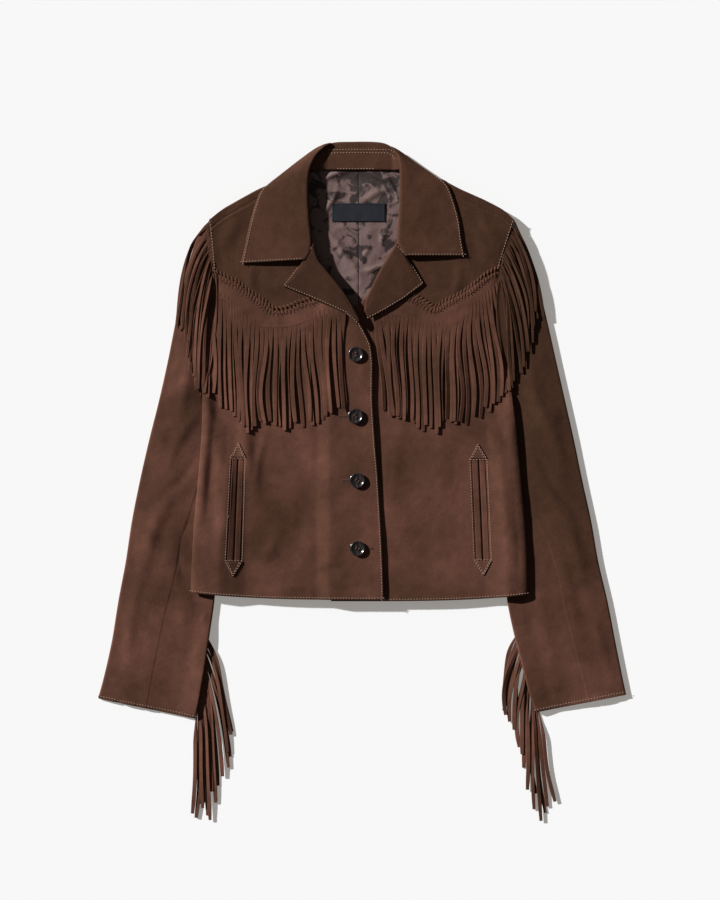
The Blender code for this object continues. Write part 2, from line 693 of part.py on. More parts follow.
def sleeve_sections(side, part):
    """The path of each section, as (distance from the outer fold, height), for one of the two cuts."""
    sections = []
    rows = smooth_rows(SLEEVE_ROWS[side], SLEEVE_SECTIONS)
    half_wall = SLEEVE_WALL / 2.0
    for number, row in enumerate(rows):
        if part == "under" and number < FIRST_UNDER_SECTION:
            continue
        along = number / (len(rows) - 1.0)
        width = math.hypot(row.inner_x - row.outer_x, row.inner_y - row.outer_y)
        seam = row.seam * width
        rear = width - REAR_SEAM_FROM_EDGE

        def upper(distance):
            lift = strip_lift(row, width - distance)
            return sleeve_top(row, along, distance / width) + lift - half_wall

        def lower(distance):
            return half_wall + strip_lift(row, width - distance)

        path = []
        if part == "top":
            radius = (upper(0.0) - lower(0.0)) / 2.0
            turn = half_wall + radius
            for s in (0.0, 0.2, 0.4, 0.6, 0.8, 1.0):
                distance = mix(seam - SEAM_GAP, turn, s)
                path.append((distance, upper(distance)))
            for angle in (45.0, 90.0, 135.0):
                bend = math.radians(angle)
                path.append((turn - radius * math.sin(bend), lower(0.0) + radius * (1.0 + math.cos(bend))))
            for s in (0.0, 0.5, 0.85, 1.0):
                distance = mix(turn, rear - SEAM_GAP, s)
                path.append((distance, lower(distance)))
        else:
            radius = (upper(width) - lower(width)) / 2.0
            turn = width - half_wall - radius
            start = min(seam + SEAM_GAP, turn - 1.0)
            for s in (0.0, 0.35, 0.7, 1.0):
                distance = mix(start, turn, s)
                path.append((distance, upper(distance)))
            for angle in (45.0, 90.0, 135.0):
                bend = math.radians(angle)
                path.append((turn + radius * math.sin(bend), lower(width) + radius * (1.0 + math.cos(bend))))
            for s in (0.0, 1.0):
                distance = mix(turn, rear + SEAM_GAP, s)
                path.append((distance, lower(distance)))
        sections.append((row, width, path))
    return sections


def make_sleeve(side, part, suede):
    outer = []
    inner = []
    for row, width, path in sleeve_sections(side, part):
        faces = []
        for face in offset_path(path, SLEEVE_WALL):
            points = []
            for distance, height in face:
                share = distance / width
                bow = row.bow * 4.0 * share * (1.0 - share)
                x = mix(row.outer_x, row.inner_x, share) + bow
                points.append((x, mix(row.outer_y, row.inner_y, share), max(height, 0.0)))
            faces.append(points)
        outer.append(faces[0])
        inner.append(faces[1])
    return wall(f"sleeve_{part}_{side}", outer, inner, suede)


# Collar and lapels


def folded_leaf(name, rows, count, thickness, radius, surface):
    """A leaf that turns back under itself along the roll and lies down at its outer edge."""
    outer = []
    inner = []
    for row in smooth_rows(rows, count):
        width = math.hypot(row.outer_x - row.roll_x, row.outer_y - row.roll_y)
        half = thickness / 2.0
        top = row.roll_top - half
        turn = half + radius
        under = max(row.under, turn + 1.0)
        path = []
        for s in (0.0, 0.5, 1.0):
            path.append((mix(under, turn, s), top - 2.0 * radius))
        for angle in (45.0, 90.0, 135.0):
            bend = math.radians(angle)
            path.append((turn - radius * math.sin(bend), top - radius * (1.0 + math.cos(bend))))
        for s in (0.0, 0.25, 0.5, 0.75, 1.0):
            drop = (top - row.outer_top + half) * s ** 1.4
            path.append((mix(turn, width, s), top - drop))
        faces = []
        for face in offset_path(path, thickness):
            points = []
            for distance, height in face:
                share = distance / width
                x = mix(row.roll_x, row.outer_x, share)
                y = mix(row.roll_y, row.outer_y, share)
                points.append((x, y, height))
            faces.append(points)
        outer.append(faces[0])
        inner.append(faces[1])
    return wall(name, outer, inner, surface)


def make_collar_band(suede):
    """The band behind the neck: up from the neck seam, over at the top and down behind."""
    outer = []
    inner = []
    half = COLLAR_WALL / 2.0
    radius = BAND_ROLL_RADIUS
    for row in smooth_rows(COLLAR_BAND_ROWS, 14):
        width = math.hypot(row.fold_x - row.seam_x, row.fold_y - row.seam_y)
        turn = half + radius
        behind = max(width - BAND_DEPTH_BEHIND, turn + 0.8)
        path = []
        for s in (0.0, 0.5, 1.0):
            distance = mix(turn, max(width, turn + 1.0), 1.0 - s)
            path.append((distance, half + 2.0 * radius + mix(NECK_SEAM_RISE, 0.0, s * s)))
        for angle in (45.0, 90.0, 135.0):
            bend = math.radians(angle)
            path.append((turn - radius * math.sin(bend), half + radius * (1.0 + math.cos(bend))))
        for s in (0.0, 1.0):
            path.append((mix(turn, behind, s), half))
        faces = []
        for face in offset_path(path, COLLAR_WALL):
            points = []
            for distance, height in face:
                share = distance / width
                x = mix(row.fold_x, row.seam_x, share)
                y = mix(row.fold_y, row.seam_y, share)
                points.append((x, y, max(height, 0.0)))
            faces.append(points)
        outer.append(faces[0])
        inner.append(faces[1])
    return wall("collar_back", outer, inner, suede)


# Fringe


def comb(name, columns, strands, surface):
    """A strip whose lower edge carries a strand on each pair of its columns."""
    built = bmesh.new()

    def pair(point):
        x, y, z = point
        return built.verts.new((x, y, z)), built.verts.new((x, y, z + FRINGE_WALL))

    def join(first, second, third, fourth):
        built.faces.new((first, second, third, fourth))

    upper = [pair(column[0]) for column in columns]
    lower = [pair(column[1]) for column in columns]
    for k in range(len(columns) - 1):
        join(upper[k][1], upper[k + 1][1], lower[k + 1][1], lower[k][1])
        join(upper[k][0], lower[k][0], lower[k + 1][0], upper[k + 1][0])
        join(upper[k][0], upper[k + 1][0], upper[k + 1][1], upper[k][1])
        if k % 2 == 1:
            join(lower[k][0], lower[k][1], lower[k + 1][1], lower[k + 1][0])
    for k in (0, len(columns) - 1):
        join(upper[k][0], upper[k][1], lower[k][1], lower[k][0])
    for number, strand in enumerate(strands):
        left = lower[2 * number]
        right = lower[2 * number + 1]
        for left_point, right_point in strand:
            next_left = pair(left_point)
            next_right = pair(right_point)
            join(left[1], right[1], next_right[1], next_left[1])
            join(left[0], next_left[0], next_right[0], right[0])
            join(left[0], left[1], next_left[1], next_left[0])
            join(right[0], next_right[0], next_right[1], right[1])
            left = next_left
            right = next_right
        join(left[0], left[1], right[1], right[0])
    return finish(name, built, surface)


def make_front_fringe(side, yoke_rows, carriers, suede):
    """A strip from the yoke's edge to the slits, and strands that hang from it."""
    rows = smooth_rows(FRONT_FRINGE_ROWS[side], 61)
    slit = np.array([(row.slit_x, row.slit_y) for row in rows])
    tip = np.array([(row.tip_x, row.tip_y) for row in rows])
    lengths = np.concatenate([[0.0], np.cumsum(np.linalg.norm(np.diff(slit, axis=0), axis=1))])
    shares = lengths / lengths[-1]
    line = smooth_rows(yoke_rows, 41)
    line_x = np.array([row.line_x for row in line])
    line_y = np.array([row.line_y for row in line])
    order = np.argsort(line_x)

    def at(points, share):
        return np.array([np.interp(share, shares, points[:, 0]), np.interp(share, shares, points[:, 1])])

    height = resting(carriers, LAYER_GAP, 6.4)
    columns = []
    strands = []
    gap = 0.13
    for number in range(FRONT_STRANDS):
        ends = [(number + gap) / FRONT_STRANDS, (number + 1.0 - gap) / FRONT_STRANDS]
        shorten = 5.0 * math.sin(number * 2.4) + 3.0 * math.sin(number * 5.1)
        sway = 0.5 * math.sin(number * 1.7)
        path = []
        for share in ends:
            x, y = at(slit, share)
            top = float(np.interp(x, line_x[order], line_y[order])) - 2.0 * SEAM_GAP
            columns.append(((x, top, height(x, top)), (x, y, height(x, y))))
        for down in (0.33, 0.67, 1.0):
            sides = []
            for share, lean in zip(ends, (1.0, -1.0)):
                start = at(slit, share)
                end = at(tip, share) + np.array([lean * 0.5, shorten])
                x, y = start + (end - start) * down
                x += sway * math.sin(down * math.pi)
                sides.append((x, y, height(x, y) + 0.5 * down))
            path.append(tuple(sides))
        strands.append(path)
    return comb(f"fringe_front_{side}", columns, strands, suede)


def near_floor(x, y):
    """The height of the strands that lie on the surface."""
    return FLOOR_CLEARANCE


def make_fan_fringe(name, fan, count, tip_width, rise, height, suede):
    """A narrow strip in a seam and strands that leave it sideways and bend down."""
    rows = smooth_rows(fan, count)
    roots = np.array([(row.root_x, row.root_y) for row in rows])
    along = np.gradient(roots, axis=0)
    along /= np.linalg.norm(along, axis=1)[:, None]
    bend = np.array([rows[0].bend_x, rows[0].bend_y])
    away = np.array([-along[0][1], along[0][0]])
    sign = 1.0 if float(np.dot(bend - roots[0], away)) > 0 else -1.0
    columns = []
    strands = []
    for number, row in enumerate(rows):
        root = roots[number]
        back = sign * np.array([along[number][1], -along[number][0]]) * FRINGE_STRIP_WIDTH
        for step in (-0.5, 0.5):
            low = root + along[number] * STRAND_ROOT_WIDTH * step
            high = low + back
            columns.append(((*high, height(*high)), (*low, height(*low))))
        bend = np.array([row.bend_x, row.bend_y])
        end = np.array([row.tip_x, row.tip_y + 6.0 * math.sin(number * 2.3)])
        path = []
        for share in (0.25, 0.5, 0.75, 1.0):
            centre = (1 - share) ** 2 * root + 2 * share * (1 - share) * bend + share * share * end
            tangent = (1 - share) * (bend - root) + share * (end - bend)
            tangent /= np.linalg.norm(tangent)
            normal = np.array([tangent[1], -tangent[0]])
            if np.dot(normal, along[number]) > 0:
                normal = -normal
            half = mix(STRAND_ROOT_WIDTH, tip_width, share) / 2.0
            first = centre + normal * half
            second = centre - normal * half
            lift = rise * math.sin(min(share * math.pi, math.pi / 2.0))
            path.append(((*first, height(*first) + lift), (*second, height(*second) + lift)))
        strands.append(path)
    return comb(name, columns, strands, suede)


# Buttons


def make_button(number, x, y, z, plastic):
    """A turned button with a raised rim and four holes."""
    profile = [
        (BUTTON_RADIUS - 1.0, 0.0),
        (BUTTON_RADIUS, 1.0),
        (BUTTON_RADIUS, BUTTON_HEIGHT - 0.8),
        (BUTTON_RADIUS - 0.8, BUTTON_HEIGHT),
        (BUTTON_RADIUS - BUTTON_RIM, BUTTON_HEIGHT),
        (BUTTON_RADIUS - BUTTON_RIM - 0.8, BUTTON_HEIGHT - 0.9),
    ]
    built = bmesh.new()
    rings = []
    for radius, height in profile:
        angles = [math.tau * step / BUTTON_SIDES for step in range(BUTTON_SIDES)]
        rings.append([built.verts.new((radius * math.cos(a), radius * math.sin(a), height)) for a in angles])
    for low, high in zip(rings, rings[1:]):
        for k in range(BUTTON_SIDES):
            following = (k + 1) % BUTTON_SIDES
            built.faces.new((low[k], low[following], high[following], high[k]))
    built.faces.new(rings[0])
    built.faces.new(rings[-1])
    button = finish(f"button_{number}", built, plastic)
    button.location = (x * MM, y * MM, z * MM)
    for across in (-1.0, 1.0):
        for up in (-1.0, 1.0):
            cut = bmesh.new()
            bmesh.ops.create_cone(
                cut, cap_ends=True, segments=6, radius1=BUTTON_HOLE_RADIUS,
                radius2=BUTTON_HOLE_RADIUS, depth=BUTTON_HEIGHT * 3.0,
            )
            cutter = finish(f"hole_{number}_{across:.0f}_{up:.0f}", cut, plastic)
            offset = BUTTON_HOLE_OFFSET * MM
            cutter.location = (x * MM + across * offset, y * MM + up * offset, z * MM)
            cutter.hide_render = True
            cutter.display_type = "WIRE"
            hole = button.modifiers.new("hole", "BOOLEAN")
            hole.operation = "DIFFERENCE"
            hole.object = cutter
    return button


def main():
    for old in list(bpy.data.objects):
        bpy.data.objects.remove(old)
    suede = material("suede", (0.098, 0.042, 0.030), 0.95)
    fringe_suede = material("fringe_suede", (0.085, 0.037, 0.027), 0.95)
    lining = material("lining", (0.085, 0.055, 0.050), 0.45)
    label = material("label", (0.017, 0.018, 0.023), 0.85)
    plastic = material("button", (0.013, 0.012, 0.013), 0.25)

    body = make_body(suede, lining, label)
    sleeves = {}
    for side in SIDES:
        sleeves[side] = [make_sleeve(side, part, suede) for part in ("top", "under")]
    yokes = {side: make_yoke(side, body[f"front_{side}"], suede) for side in SIDES}
    for side in SIDES:
        make_pocket(side, body[f"front_{side}"], suede)
        make_front_fringe(side, YOKE_ROWS[side], [body[f"front_{side}"]], fringe_suede)
        folded_leaf(f"collar_leaf_{side}", LEAF_ROWS[side], 13, COLLAR_WALL, ROLL_RADIUS, suede)
        folded_leaf(f"lapel_{side}", LAPEL_ROWS[side], 11, LAPEL_WALL, LAPEL_ROLL_RADIUS, suede)
    make_collar_band(suede)
    for side in SIDES:
        on_sleeve = resting(sleeves[side], SHOULDER_FRINGE_AIR, 2.0 * SLEEVE_HEIGHT)
        make_fan_fringe(
            f"fringe_shoulder_{side}", SHOULDER_FANS[side], SHOULDER_STRANDS,
            SHOULDER_TIP_WIDTH, SHOULDER_STRAND_RISE, on_sleeve, fringe_suede,
        )
        make_fan_fringe(
            f"fringe_sleeve_{side}", SLEEVE_FANS[side], SLEEVE_STRANDS,
            SLEEVE_TIP_WIDTH, SLEEVE_STRAND_RISE, near_floor, fringe_suede,
        )
    on_front = resting([body["front_left"]], LAYER_GAP - 0.2, 0.0)
    for number, (x, y) in enumerate(BUTTONS, start=1):
        make_button(number, x, y, on_front(x, y), plastic)


if __name__ == "__main__":
    main()
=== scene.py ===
"""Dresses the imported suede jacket: cloth with soft folds, fringe, lacing, stitching, lining and buttons.

Plan lengths in the tables are millimetres, with +Y towards the collar and left and right as the viewer sees them.
"""

import collections
import json
import math

import bmesh
import bpy
import numpy as np
from bpy.props import FloatProperty, FloatVectorProperty, IntProperty, PointerProperty
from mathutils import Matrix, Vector
from mathutils.bvhtree import BVHTree

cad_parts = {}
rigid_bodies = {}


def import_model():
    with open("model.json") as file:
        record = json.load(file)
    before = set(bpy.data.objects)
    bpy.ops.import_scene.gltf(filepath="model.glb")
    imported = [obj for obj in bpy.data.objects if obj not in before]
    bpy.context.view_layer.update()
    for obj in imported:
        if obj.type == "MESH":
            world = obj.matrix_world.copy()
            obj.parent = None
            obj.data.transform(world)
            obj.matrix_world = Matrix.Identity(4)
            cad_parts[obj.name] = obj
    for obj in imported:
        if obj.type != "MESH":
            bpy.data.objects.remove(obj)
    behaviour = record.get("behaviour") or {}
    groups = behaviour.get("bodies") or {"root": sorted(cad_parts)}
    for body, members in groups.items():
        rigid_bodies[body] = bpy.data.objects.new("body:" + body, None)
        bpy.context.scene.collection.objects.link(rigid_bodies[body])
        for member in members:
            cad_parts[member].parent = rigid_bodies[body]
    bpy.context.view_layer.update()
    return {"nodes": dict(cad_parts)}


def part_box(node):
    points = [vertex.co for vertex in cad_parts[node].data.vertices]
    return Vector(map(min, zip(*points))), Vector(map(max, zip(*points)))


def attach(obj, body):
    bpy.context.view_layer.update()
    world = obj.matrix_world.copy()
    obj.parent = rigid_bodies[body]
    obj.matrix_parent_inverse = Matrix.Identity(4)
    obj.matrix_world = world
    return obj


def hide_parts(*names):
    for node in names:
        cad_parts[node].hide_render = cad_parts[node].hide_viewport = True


bl_info = {
    "name": "Suede fringe jacket",
    "version": (1, 0, 0),
    "blender": (4, 5, 0),
    "location": "3D View > Sidebar > Jacket",
    "description": "Makes the cloth, fringe, lacing, stitching and buttons of a short suede jacket",
    "category": "Object",
}

for leftover in list(bpy.data.objects):
    bpy.data.objects.remove(leftover)
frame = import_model()

MM = 0.001
BODY = "root"
SIDES = {"left": -1.0, "right": 1.0}
DOWN = Vector((0.0, 0.0, -1.0))
UP = Vector((0.0, 0.0, 1.0))
RAY_HEIGHT = 100.0

# Walls of the cloth
PANEL_WALL = 2.4
SLEEVE_WALL = 1.6
YOKE_WALL = 1.6
COLLAR_WALL = 2.2
LAPEL_WALL = 1.8
STRIP_WALL = 1.3
TAB_WALL = 1.0
LINING_WALL = 0.7
LABEL_WALL = 0.8

Crease = collections.namedtuple("Crease", "x y angle length width height bow")
LeafRow = collections.namedtuple("LeafRow", "roll_x roll_y outer_x outer_y roll_top outer_top under")
Pocket = collections.namedtuple("Pocket", "top_x top_y bottom_x bottom_y half_top half_bottom")

# Sleeves from armhole to cuff: outer fold, inner fold, bow of the section and share of the front seam
SLEEVE_ROWS = {
    "left": [
        (-194.9, 327.0, -197.0, 123.5, 12.5, 0.955),
        (-211.5, 302.3, -198.0, 112.4, 8.0, 0.947),
        (-225.4, 251.5, -196.5, 97.0, 2.0, 0.93),
        (-236.9, 200.7, -190.0, 62.0, 0.0, 0.90),
        (-247.0, 149.9, -185.6, 27.0, 0.0, 0.85),
        (-258.4, 99.0, -184.8, -8.0, 0.0, 0.78),
        (-271.1, 48.3, -184.6, -42.0, 0.0, 0.69),
        (-282.6, -2.5, -185.2, -77.0, 0.0, 0.62),
        (-292.7, -53.3, -186.0, -114.0, 0.0, 0.57),
        (-300.4, -104.1, -187.7, -152.4, 0.0, 0.525),
        (-309.9, -154.9, -193.6, -195.0, 0.0, 0.49),
        (-318.1, -205.7, -200.0, -240.0, 0.0, 0.467),
        (-328.3, -251.5, -207.0, -281.0, 0.0, 0.47),
        (-335.5, -277.8, -211.5, -303.5, 0.0, 0.48),
    ],
    "right": [
        (193.6, 327.0, 185.4, 123.5, -20.0, 0.96),
        (203.8, 302.3, 186.4, 112.0, -11.0, 0.95),
        (221.6, 251.5, 185.4, 96.0, -3.0, 0.94),
        (234.3, 200.7, 181.0, 62.0, 0.0, 0.92),
        (245.7, 149.9, 177.3, 27.0, 0.0, 0.88),
        (257.2, 99.0, 177.0, -8.0, 0.0, 0.83),
        (268.6, 48.3, 177.8, -42.0, 0.0, 0.75),
        (279.1, -2.5, 179.0, -77.0, 0.0, 0.61),
        (290.2, -53.3, 181.0, -113.0, 0.0, 0.49),
        (299.1, -104.1, 183.0, -150.0, 0.0, 0.43),
        (310.9, -154.9, 191.0, -192.0, 0.0, 0.43),
        (320.7, -205.7, 203.0, -240.0, 0.0, 0.415),
        (329.9, -251.5, 212.5, -276.0, 0.0, 0.40),
        (334.5, -273.0, 220.1, -295.3, 0.0, 0.41),
    ],
}

# Collar leaves from the notch round to the back of the neck
LEAF_ROWS = {
    "left": [
        LeafRow(-71.0, 276.9, -154.3, 272.4, 17.0, 13.2, 16.0),
        LeafRow(-63.4, 293.4, -149.9, 290.8, 17.0, 13.2, 16.0),
        LeafRow(-66.4, 331.5, -141.0, 330.2, 17.5, 13.2, 16.0),
        LeafRow(-68.0, 362.0, -130.8, 360.7, 17.5, 13.2, 16.0),
        LeafRow(-67.3, 382.3, -120.7, 372.1, 17.0, 13.0, 13.0),
        LeafRow(-64.1, 397.5, -103.5, 385.5, 16.0, 11.0, 9.0),
        LeafRow(-56.5, 412.1, -83.2, 401.3, 13.5, 8.5, 6.0),
        LeafRow(-46.4, 421.6, -61.6, 417.2, 11.0, 7.0, 4.5),
        LeafRow(-38.5, 425.8, -48.0, 424.0, 9.0, 6.5, 3.5),
    ],
    "right": [
        LeafRow(54.0, 281.9, 130.2, 281.9, 17.0, 13.2, 16.0),
        LeafRow(43.8, 299.7, 126.4, 303.5, 17.0, 13.2, 16.0),
        LeafRow(45.1, 330.2, 122.6, 330.2, 17.5, 13.2, 16.0),
        LeafRow(46.4, 362.0, 113.7, 359.4, 17.5, 13.2, 16.0),
        LeafRow(46.7, 384.8, 106.0, 373.4, 17.0, 13.0, 13.0),
        LeafRow(46.4, 398.8, 88.3, 386.1, 16.0, 11.0, 9.0),
        LeafRow(43.2, 410.2, 65.4, 402.0, 13.5, 8.5, 6.0),
        LeafRow(38.1, 417.8, 52.2, 411.8, 11.0, 7.0, 4.5),
        LeafRow(34.0, 421.8, 42.5, 418.0, 9.0, 6.5, 3.5),
    ],
}
LAPEL_ROWS = {
    "left": [
        LeafRow(-61.8, 299.0, -74.0, 274.6, 16.8, 13.8, 5.0),
        LeafRow(-56.0, 279.0, -100.5, 243.8, 16.8, 12.8, 11.0),
        LeafRow(-42.6, 261.0, -73.0, 232.4, 17.6, 13.4, 11.0),
        LeafRow(-26.6, 241.3, -45.0, 220.2, 18.6, 16.2, 6.0),
        LeafRow(-13.3, 221.0, -22.2, 209.6, 18.6, 17.0, 4.5),
        LeafRow(-2.5, 201.5, -5.7, 194.3, 17.6, 16.6, 3.5),
    ],
    "right": [
        LeafRow(43.0, 299.0, 54.6, 279.4, 16.4, 13.6, 5.0),
        LeafRow(36.2, 288.0, 77.7, 246.4, 16.4, 12.8, 11.0),
        LeafRow(23.5, 267.0, 54.0, 228.6, 16.4, 12.8, 11.0),
        LeafRow(11.0, 242.0, 31.0, 214.6, 16.2, 13.2, 8.0),
        LeafRow(4.6, 227.0, 15.0, 206.0, 15.6, 13.2, 5.0),
        LeafRow(2.4, 213.0, 7.6, 202.4, 15.0, 13.2, 4.0),
    ],
}

# Band behind the neck: seam and fold
BAND_ROWS = [
    (-72.0, 391.5, -70.0, 397.6),
    (-63.0, 391.0, -60.6, 412.6),
    (-50.0, 391.0, -48.0, 423.0),
    (-36.0, 391.0, -34.5, 427.2),
    (-15.0, 391.0, -14.5, 427.9),
    (8.0, 391.0, 8.0, 428.0),
    (23.0, 391.0, 23.0, 427.0),
    (32.6, 391.0, 32.6, 424.0),
    (39.0, 391.0, 39.0, 419.0),
    (46.0, 391.0, 46.0, 411.6),
    (52.0, 391.5, 52.0, 398.6),
]

# Yokes: shoulder edge and laced edge
YOKE_ROWS = {
    "left": [
        (-194.6, 327.8, -188.8, 264.2),
        (-180.0, 339.6, -173.4, 256.5),
        (-164.0, 348.8, -160.0, 250.2),
        (-146.0, 358.6, -144.2, 238.8),
        (-130.0, 367.2, -127.6, 227.3),
        (-115.0, 373.6, -112.4, 215.9),
        (-99.0, 379.6, -95.1, 217.7),
        (-86.0, 381.0, -79.4, 224.2),
        (-75.0, 379.0, -58.0, 230.0),
    ],
    "right": [
        (192.8, 327.8, 173.0, 268.2),
        (178.0, 340.8, 154.3, 257.8),
        (162.0, 349.4, 137.8, 243.8),
        (144.0, 357.2, 121.3, 233.7),
        (124.0, 366.2, 105.4, 226.0),
        (108.0, 374.0, 90.8, 218.4),
        (94.0, 380.0, 73.0, 228.6),
        (76.0, 381.0, 60.0, 233.5),
        (58.0, 379.0, 44.0, 236.0),
    ],
}

# Front fringe: laced edge, start of each slit and end of the strands, from side to side
FRONT_FRINGE_ROWS = {
    "left": [
        (-194.0, 262.0, -206.4, 243.8, -207.6, 108.0),
        (-188.0, 264.7, -196.2, 237.5, -197.5, 106.7),
        (-172.0, 256.0, -186.1, 228.6, -186.1, 102.9),
        (-160.0, 250.2, -170.8, 223.5, -167.0, 85.1),
        (-146.0, 240.2, -155.6, 207.0, -149.2, 69.8),
        (-130.0, 229.0, -142.9, 195.6, -137.8, 63.5),
        (-112.4, 215.9, -122.6, 190.5, -120.0, 73.7),
        (-95.1, 217.7, -104.8, 190.5, -101.0, 64.8),
        (-79.4, 224.2, -88.3, 191.8, -80.6, 68.6),
        (-58.0, 230.0, -65.4, 200.7, -55.2, 76.2),
        (-40.0, 226.0, -42.5, 207.0, -33.7, 86.4),
        (-20.0, 214.0, -21.0, 201.9, -13.3, 94.0),
    ],
    "right": [
        (14.0, 206.0, 14.6, 199.4, 23.5, 88.9),
        (30.0, 218.0, 32.4, 207.0, 41.3, 81.3),
        (44.0, 233.0, 54.0, 203.2, 59.1, 78.7),
        (62.0, 232.0, 75.6, 194.3, 78.1, 67.3),
        (76.0, 226.0, 92.1, 195.6, 93.3, 64.8),
        (90.8, 218.4, 108.6, 199.4, 111.1, 74.9),
        (105.4, 226.0, 127.6, 209.6, 123.8, 69.8),
        (121.3, 233.7, 140.3, 215.9, 145.4, 82.5),
        (137.8, 243.8, 153.0, 224.8, 161.9, 94.0),
        (154.3, 257.8, 164.5, 235.0, 178.4, 105.4),
        (171.0, 268.7, 174.6, 245.1, 192.4, 114.3),
    ],
}

# Fringe fans: root, bend and tip of some strands in order
SHOULDER_FANS = {
    "left": [
        (-198.6, 322.0, -231.0, 298.0, -235.0, 196.0),
        (-196.6, 305.0, -224.0, 276.0, -227.0, 190.0),
        (-194.2, 287.0, -216.0, 258.0, -218.0, 152.0),
        (-192.6, 268.0, -207.0, 240.0, -210.0, 120.0),
        (-190.0, 252.0, -200.0, 226.0, -203.0, 110.0),
    ],
    "right": [
        (195.0, 322.0, 213.0, 300.0, 225.0, 214.0),
        (189.4, 305.0, 210.0, 281.0, 217.0, 197.0),
        (183.6, 287.0, 206.0, 260.0, 211.0, 172.0),
        (178.0, 268.0, 195.0, 238.0, 201.0, 140.0),
        (174.6, 250.0, 183.0, 220.0, 189.0, 116.0),
    ],
}
SLEEVE_FANS = {
    "left": [
        (-196.5, -206.0, -180.0, -236.0, -166.4, -320.7),
        (-198.0, -230.0, -180.0, -270.0, -167.4, -355.0),
        (-201.0, -250.0, -186.0, -300.0, -187.0, -388.0),
        (-204.5, -268.0, -192.0, -320.0, -189.1, -420.0),
        (-208.0, -285.0, -203.0, -335.0, -202.8, -418.0),
        (-210.5, -296.0, -211.0, -345.0, -216.0, -420.0),
    ],
    "right": [
        (196.0, -200.0, 182.0, -225.0, 179.2, -268.0),
        (199.0, -215.0, 183.0, -245.0, 180.0, -298.0),
        (203.0, -232.0, 190.0, -265.0, 196.0, -312.0),
        (208.0, -250.0, 198.0, -295.0, 204.0, -358.0),
        (213.0, -266.0, 207.0, -320.0, 214.0, -395.0),
        (218.0, -282.0, 217.0, -335.0, 226.7, -423.0),
        (222.0, -292.0, 228.0, -340.0, 240.0, -408.0),
    ],
}

# Soft folds, each with its own length, depth and bend
FRONT_CREASES = [
    Crease(-186.0, 8.0, 88.0, 90.0, 11.0, -2.4, 6.0),
    Crease(-175.9, -33.0, 84.0, 60.0, 7.0, 0.8, -5.0),
    Crease(-141.0, 36.0, 97.0, 58.0, 10.0, 1.9, 6.0),
    Crease(-127.6, 24.1, 80.0, 36.0, 5.0, 0.7, 4.0),
    Crease(-83.2, -52.1, 70.0, 75.0, 15.0, -0.8, -7.0),
    Crease(-54.0, 11.4, 100.0, 55.0, 11.0, 0.7, 6.0),
    Crease(-99.7, -121.9, 8.0, 55.0, 10.0, 0.6, 5.0),
    Crease(-196.2, 62.2, 92.0, 45.0, 6.0, 0.8, 3.0),
    Crease(-120.0, -88.0, 62.0, 34.0, 8.0, 0.8, -4.0),
    Crease(-40.0, -118.0, 20.0, 30.0, 7.0, -0.7, 3.0),
    Crease(45.1, 11.4, 86.0, 80.0, 12.0, 0.8, 7.0),
    Crease(73.0, -77.5, 102.0, 60.0, 14.0, -0.8, -6.0),
    Crease(106.0, 11.4, 94.0, 65.0, 13.0, 0.7, 8.0),
    Crease(181.0, 36.8, 84.0, 70.0, 10.0, -0.9, 5.0),
    Crease(184.8, -77.5, 96.0, 50.0, 8.0, 0.8, -4.0),
    Crease(113.7, -134.6, 174.0, 60.0, 9.0, 0.5, 5.0),
]
SLEEVE_CREASES = [
    Crease(-224.2, 49.5, 62.0, 50.0, 7.0, 1.1, 8.0),
    Crease(-236.9, 1.3, 48.0, 42.0, 6.0, -0.9, -7.0),
    Crease(-249.6, -52.1, 66.0, 60.0, 9.0, 1.0, 9.0),
    Crease(-269.9, -102.9, 74.0, 70.0, 10.0, -0.9, -8.0),
    Crease(-287.7, -179.1, 82.0, 65.0, 9.0, 0.9, 7.0),
    Crease(-231.8, -153.7, 86.0, 60.0, 9.0, 0.9, -6.0),
    Crease(-216.5, 125.7, 76.0, 55.0, 8.0, 0.9, 6.0),
    Crease(-211.5, -229.9, 78.0, 40.0, 8.0, -0.8, 5.0),
    Crease(-220.0, -98.0, 84.0, 46.0, 9.0, -2.2, 4.0),
    Crease(-206.0, -172.0, 100.0, 40.0, 9.0, -1.5, -4.0),
    Crease(230.5, 62.2, 112.0, 55.0, 8.0, 1.0, -8.0),
    Crease(245.7, -1.3, 124.0, 45.0, 6.0, -0.9, 7.0),
    Crease(258.4, -77.5, 108.0, 65.0, 9.0, 1.0, -9.0),
    Crease(283.8, -153.7, 104.0, 60.0, 10.0, -0.9, 8.0),
    Crease(235.6, -179.1, 98.0, 60.0, 9.0, 0.9, 6.0),
    Crease(301.6, -217.2, 110.0, 45.0, 8.0, 0.8, -6.0),
    Crease(222.9, 113.0, 104.0, 50.0, 8.0, 0.9, 6.0),
]
YOKE_CREASES = [
    Crease(-137.8, 246.4, 96.0, 26.0, 7.0, 0.9, 4.0),
    Crease(-155.6, 290.8, 74.0, 34.0, 9.0, -0.7, 5.0),
    Crease(-170.8, 313.7, 60.0, 30.0, 8.0, 0.7, -4.0),
    Crease(-89.5, 247.7, 20.0, 30.0, 8.0, 0.6, 3.0),
    Crease(117.5, 255.3, 84.0, 28.0, 7.0, 0.8, -4.0),
    Crease(146.7, 290.8, 108.0, 34.0, 9.0, -0.7, 5.0),
    Crease(161.9, 318.8, 120.0, 28.0, 8.0, 0.7, 4.0),
    Crease(79.4, 250.2, 165.0, 28.0, 8.0, 0.6, -3.0),
]
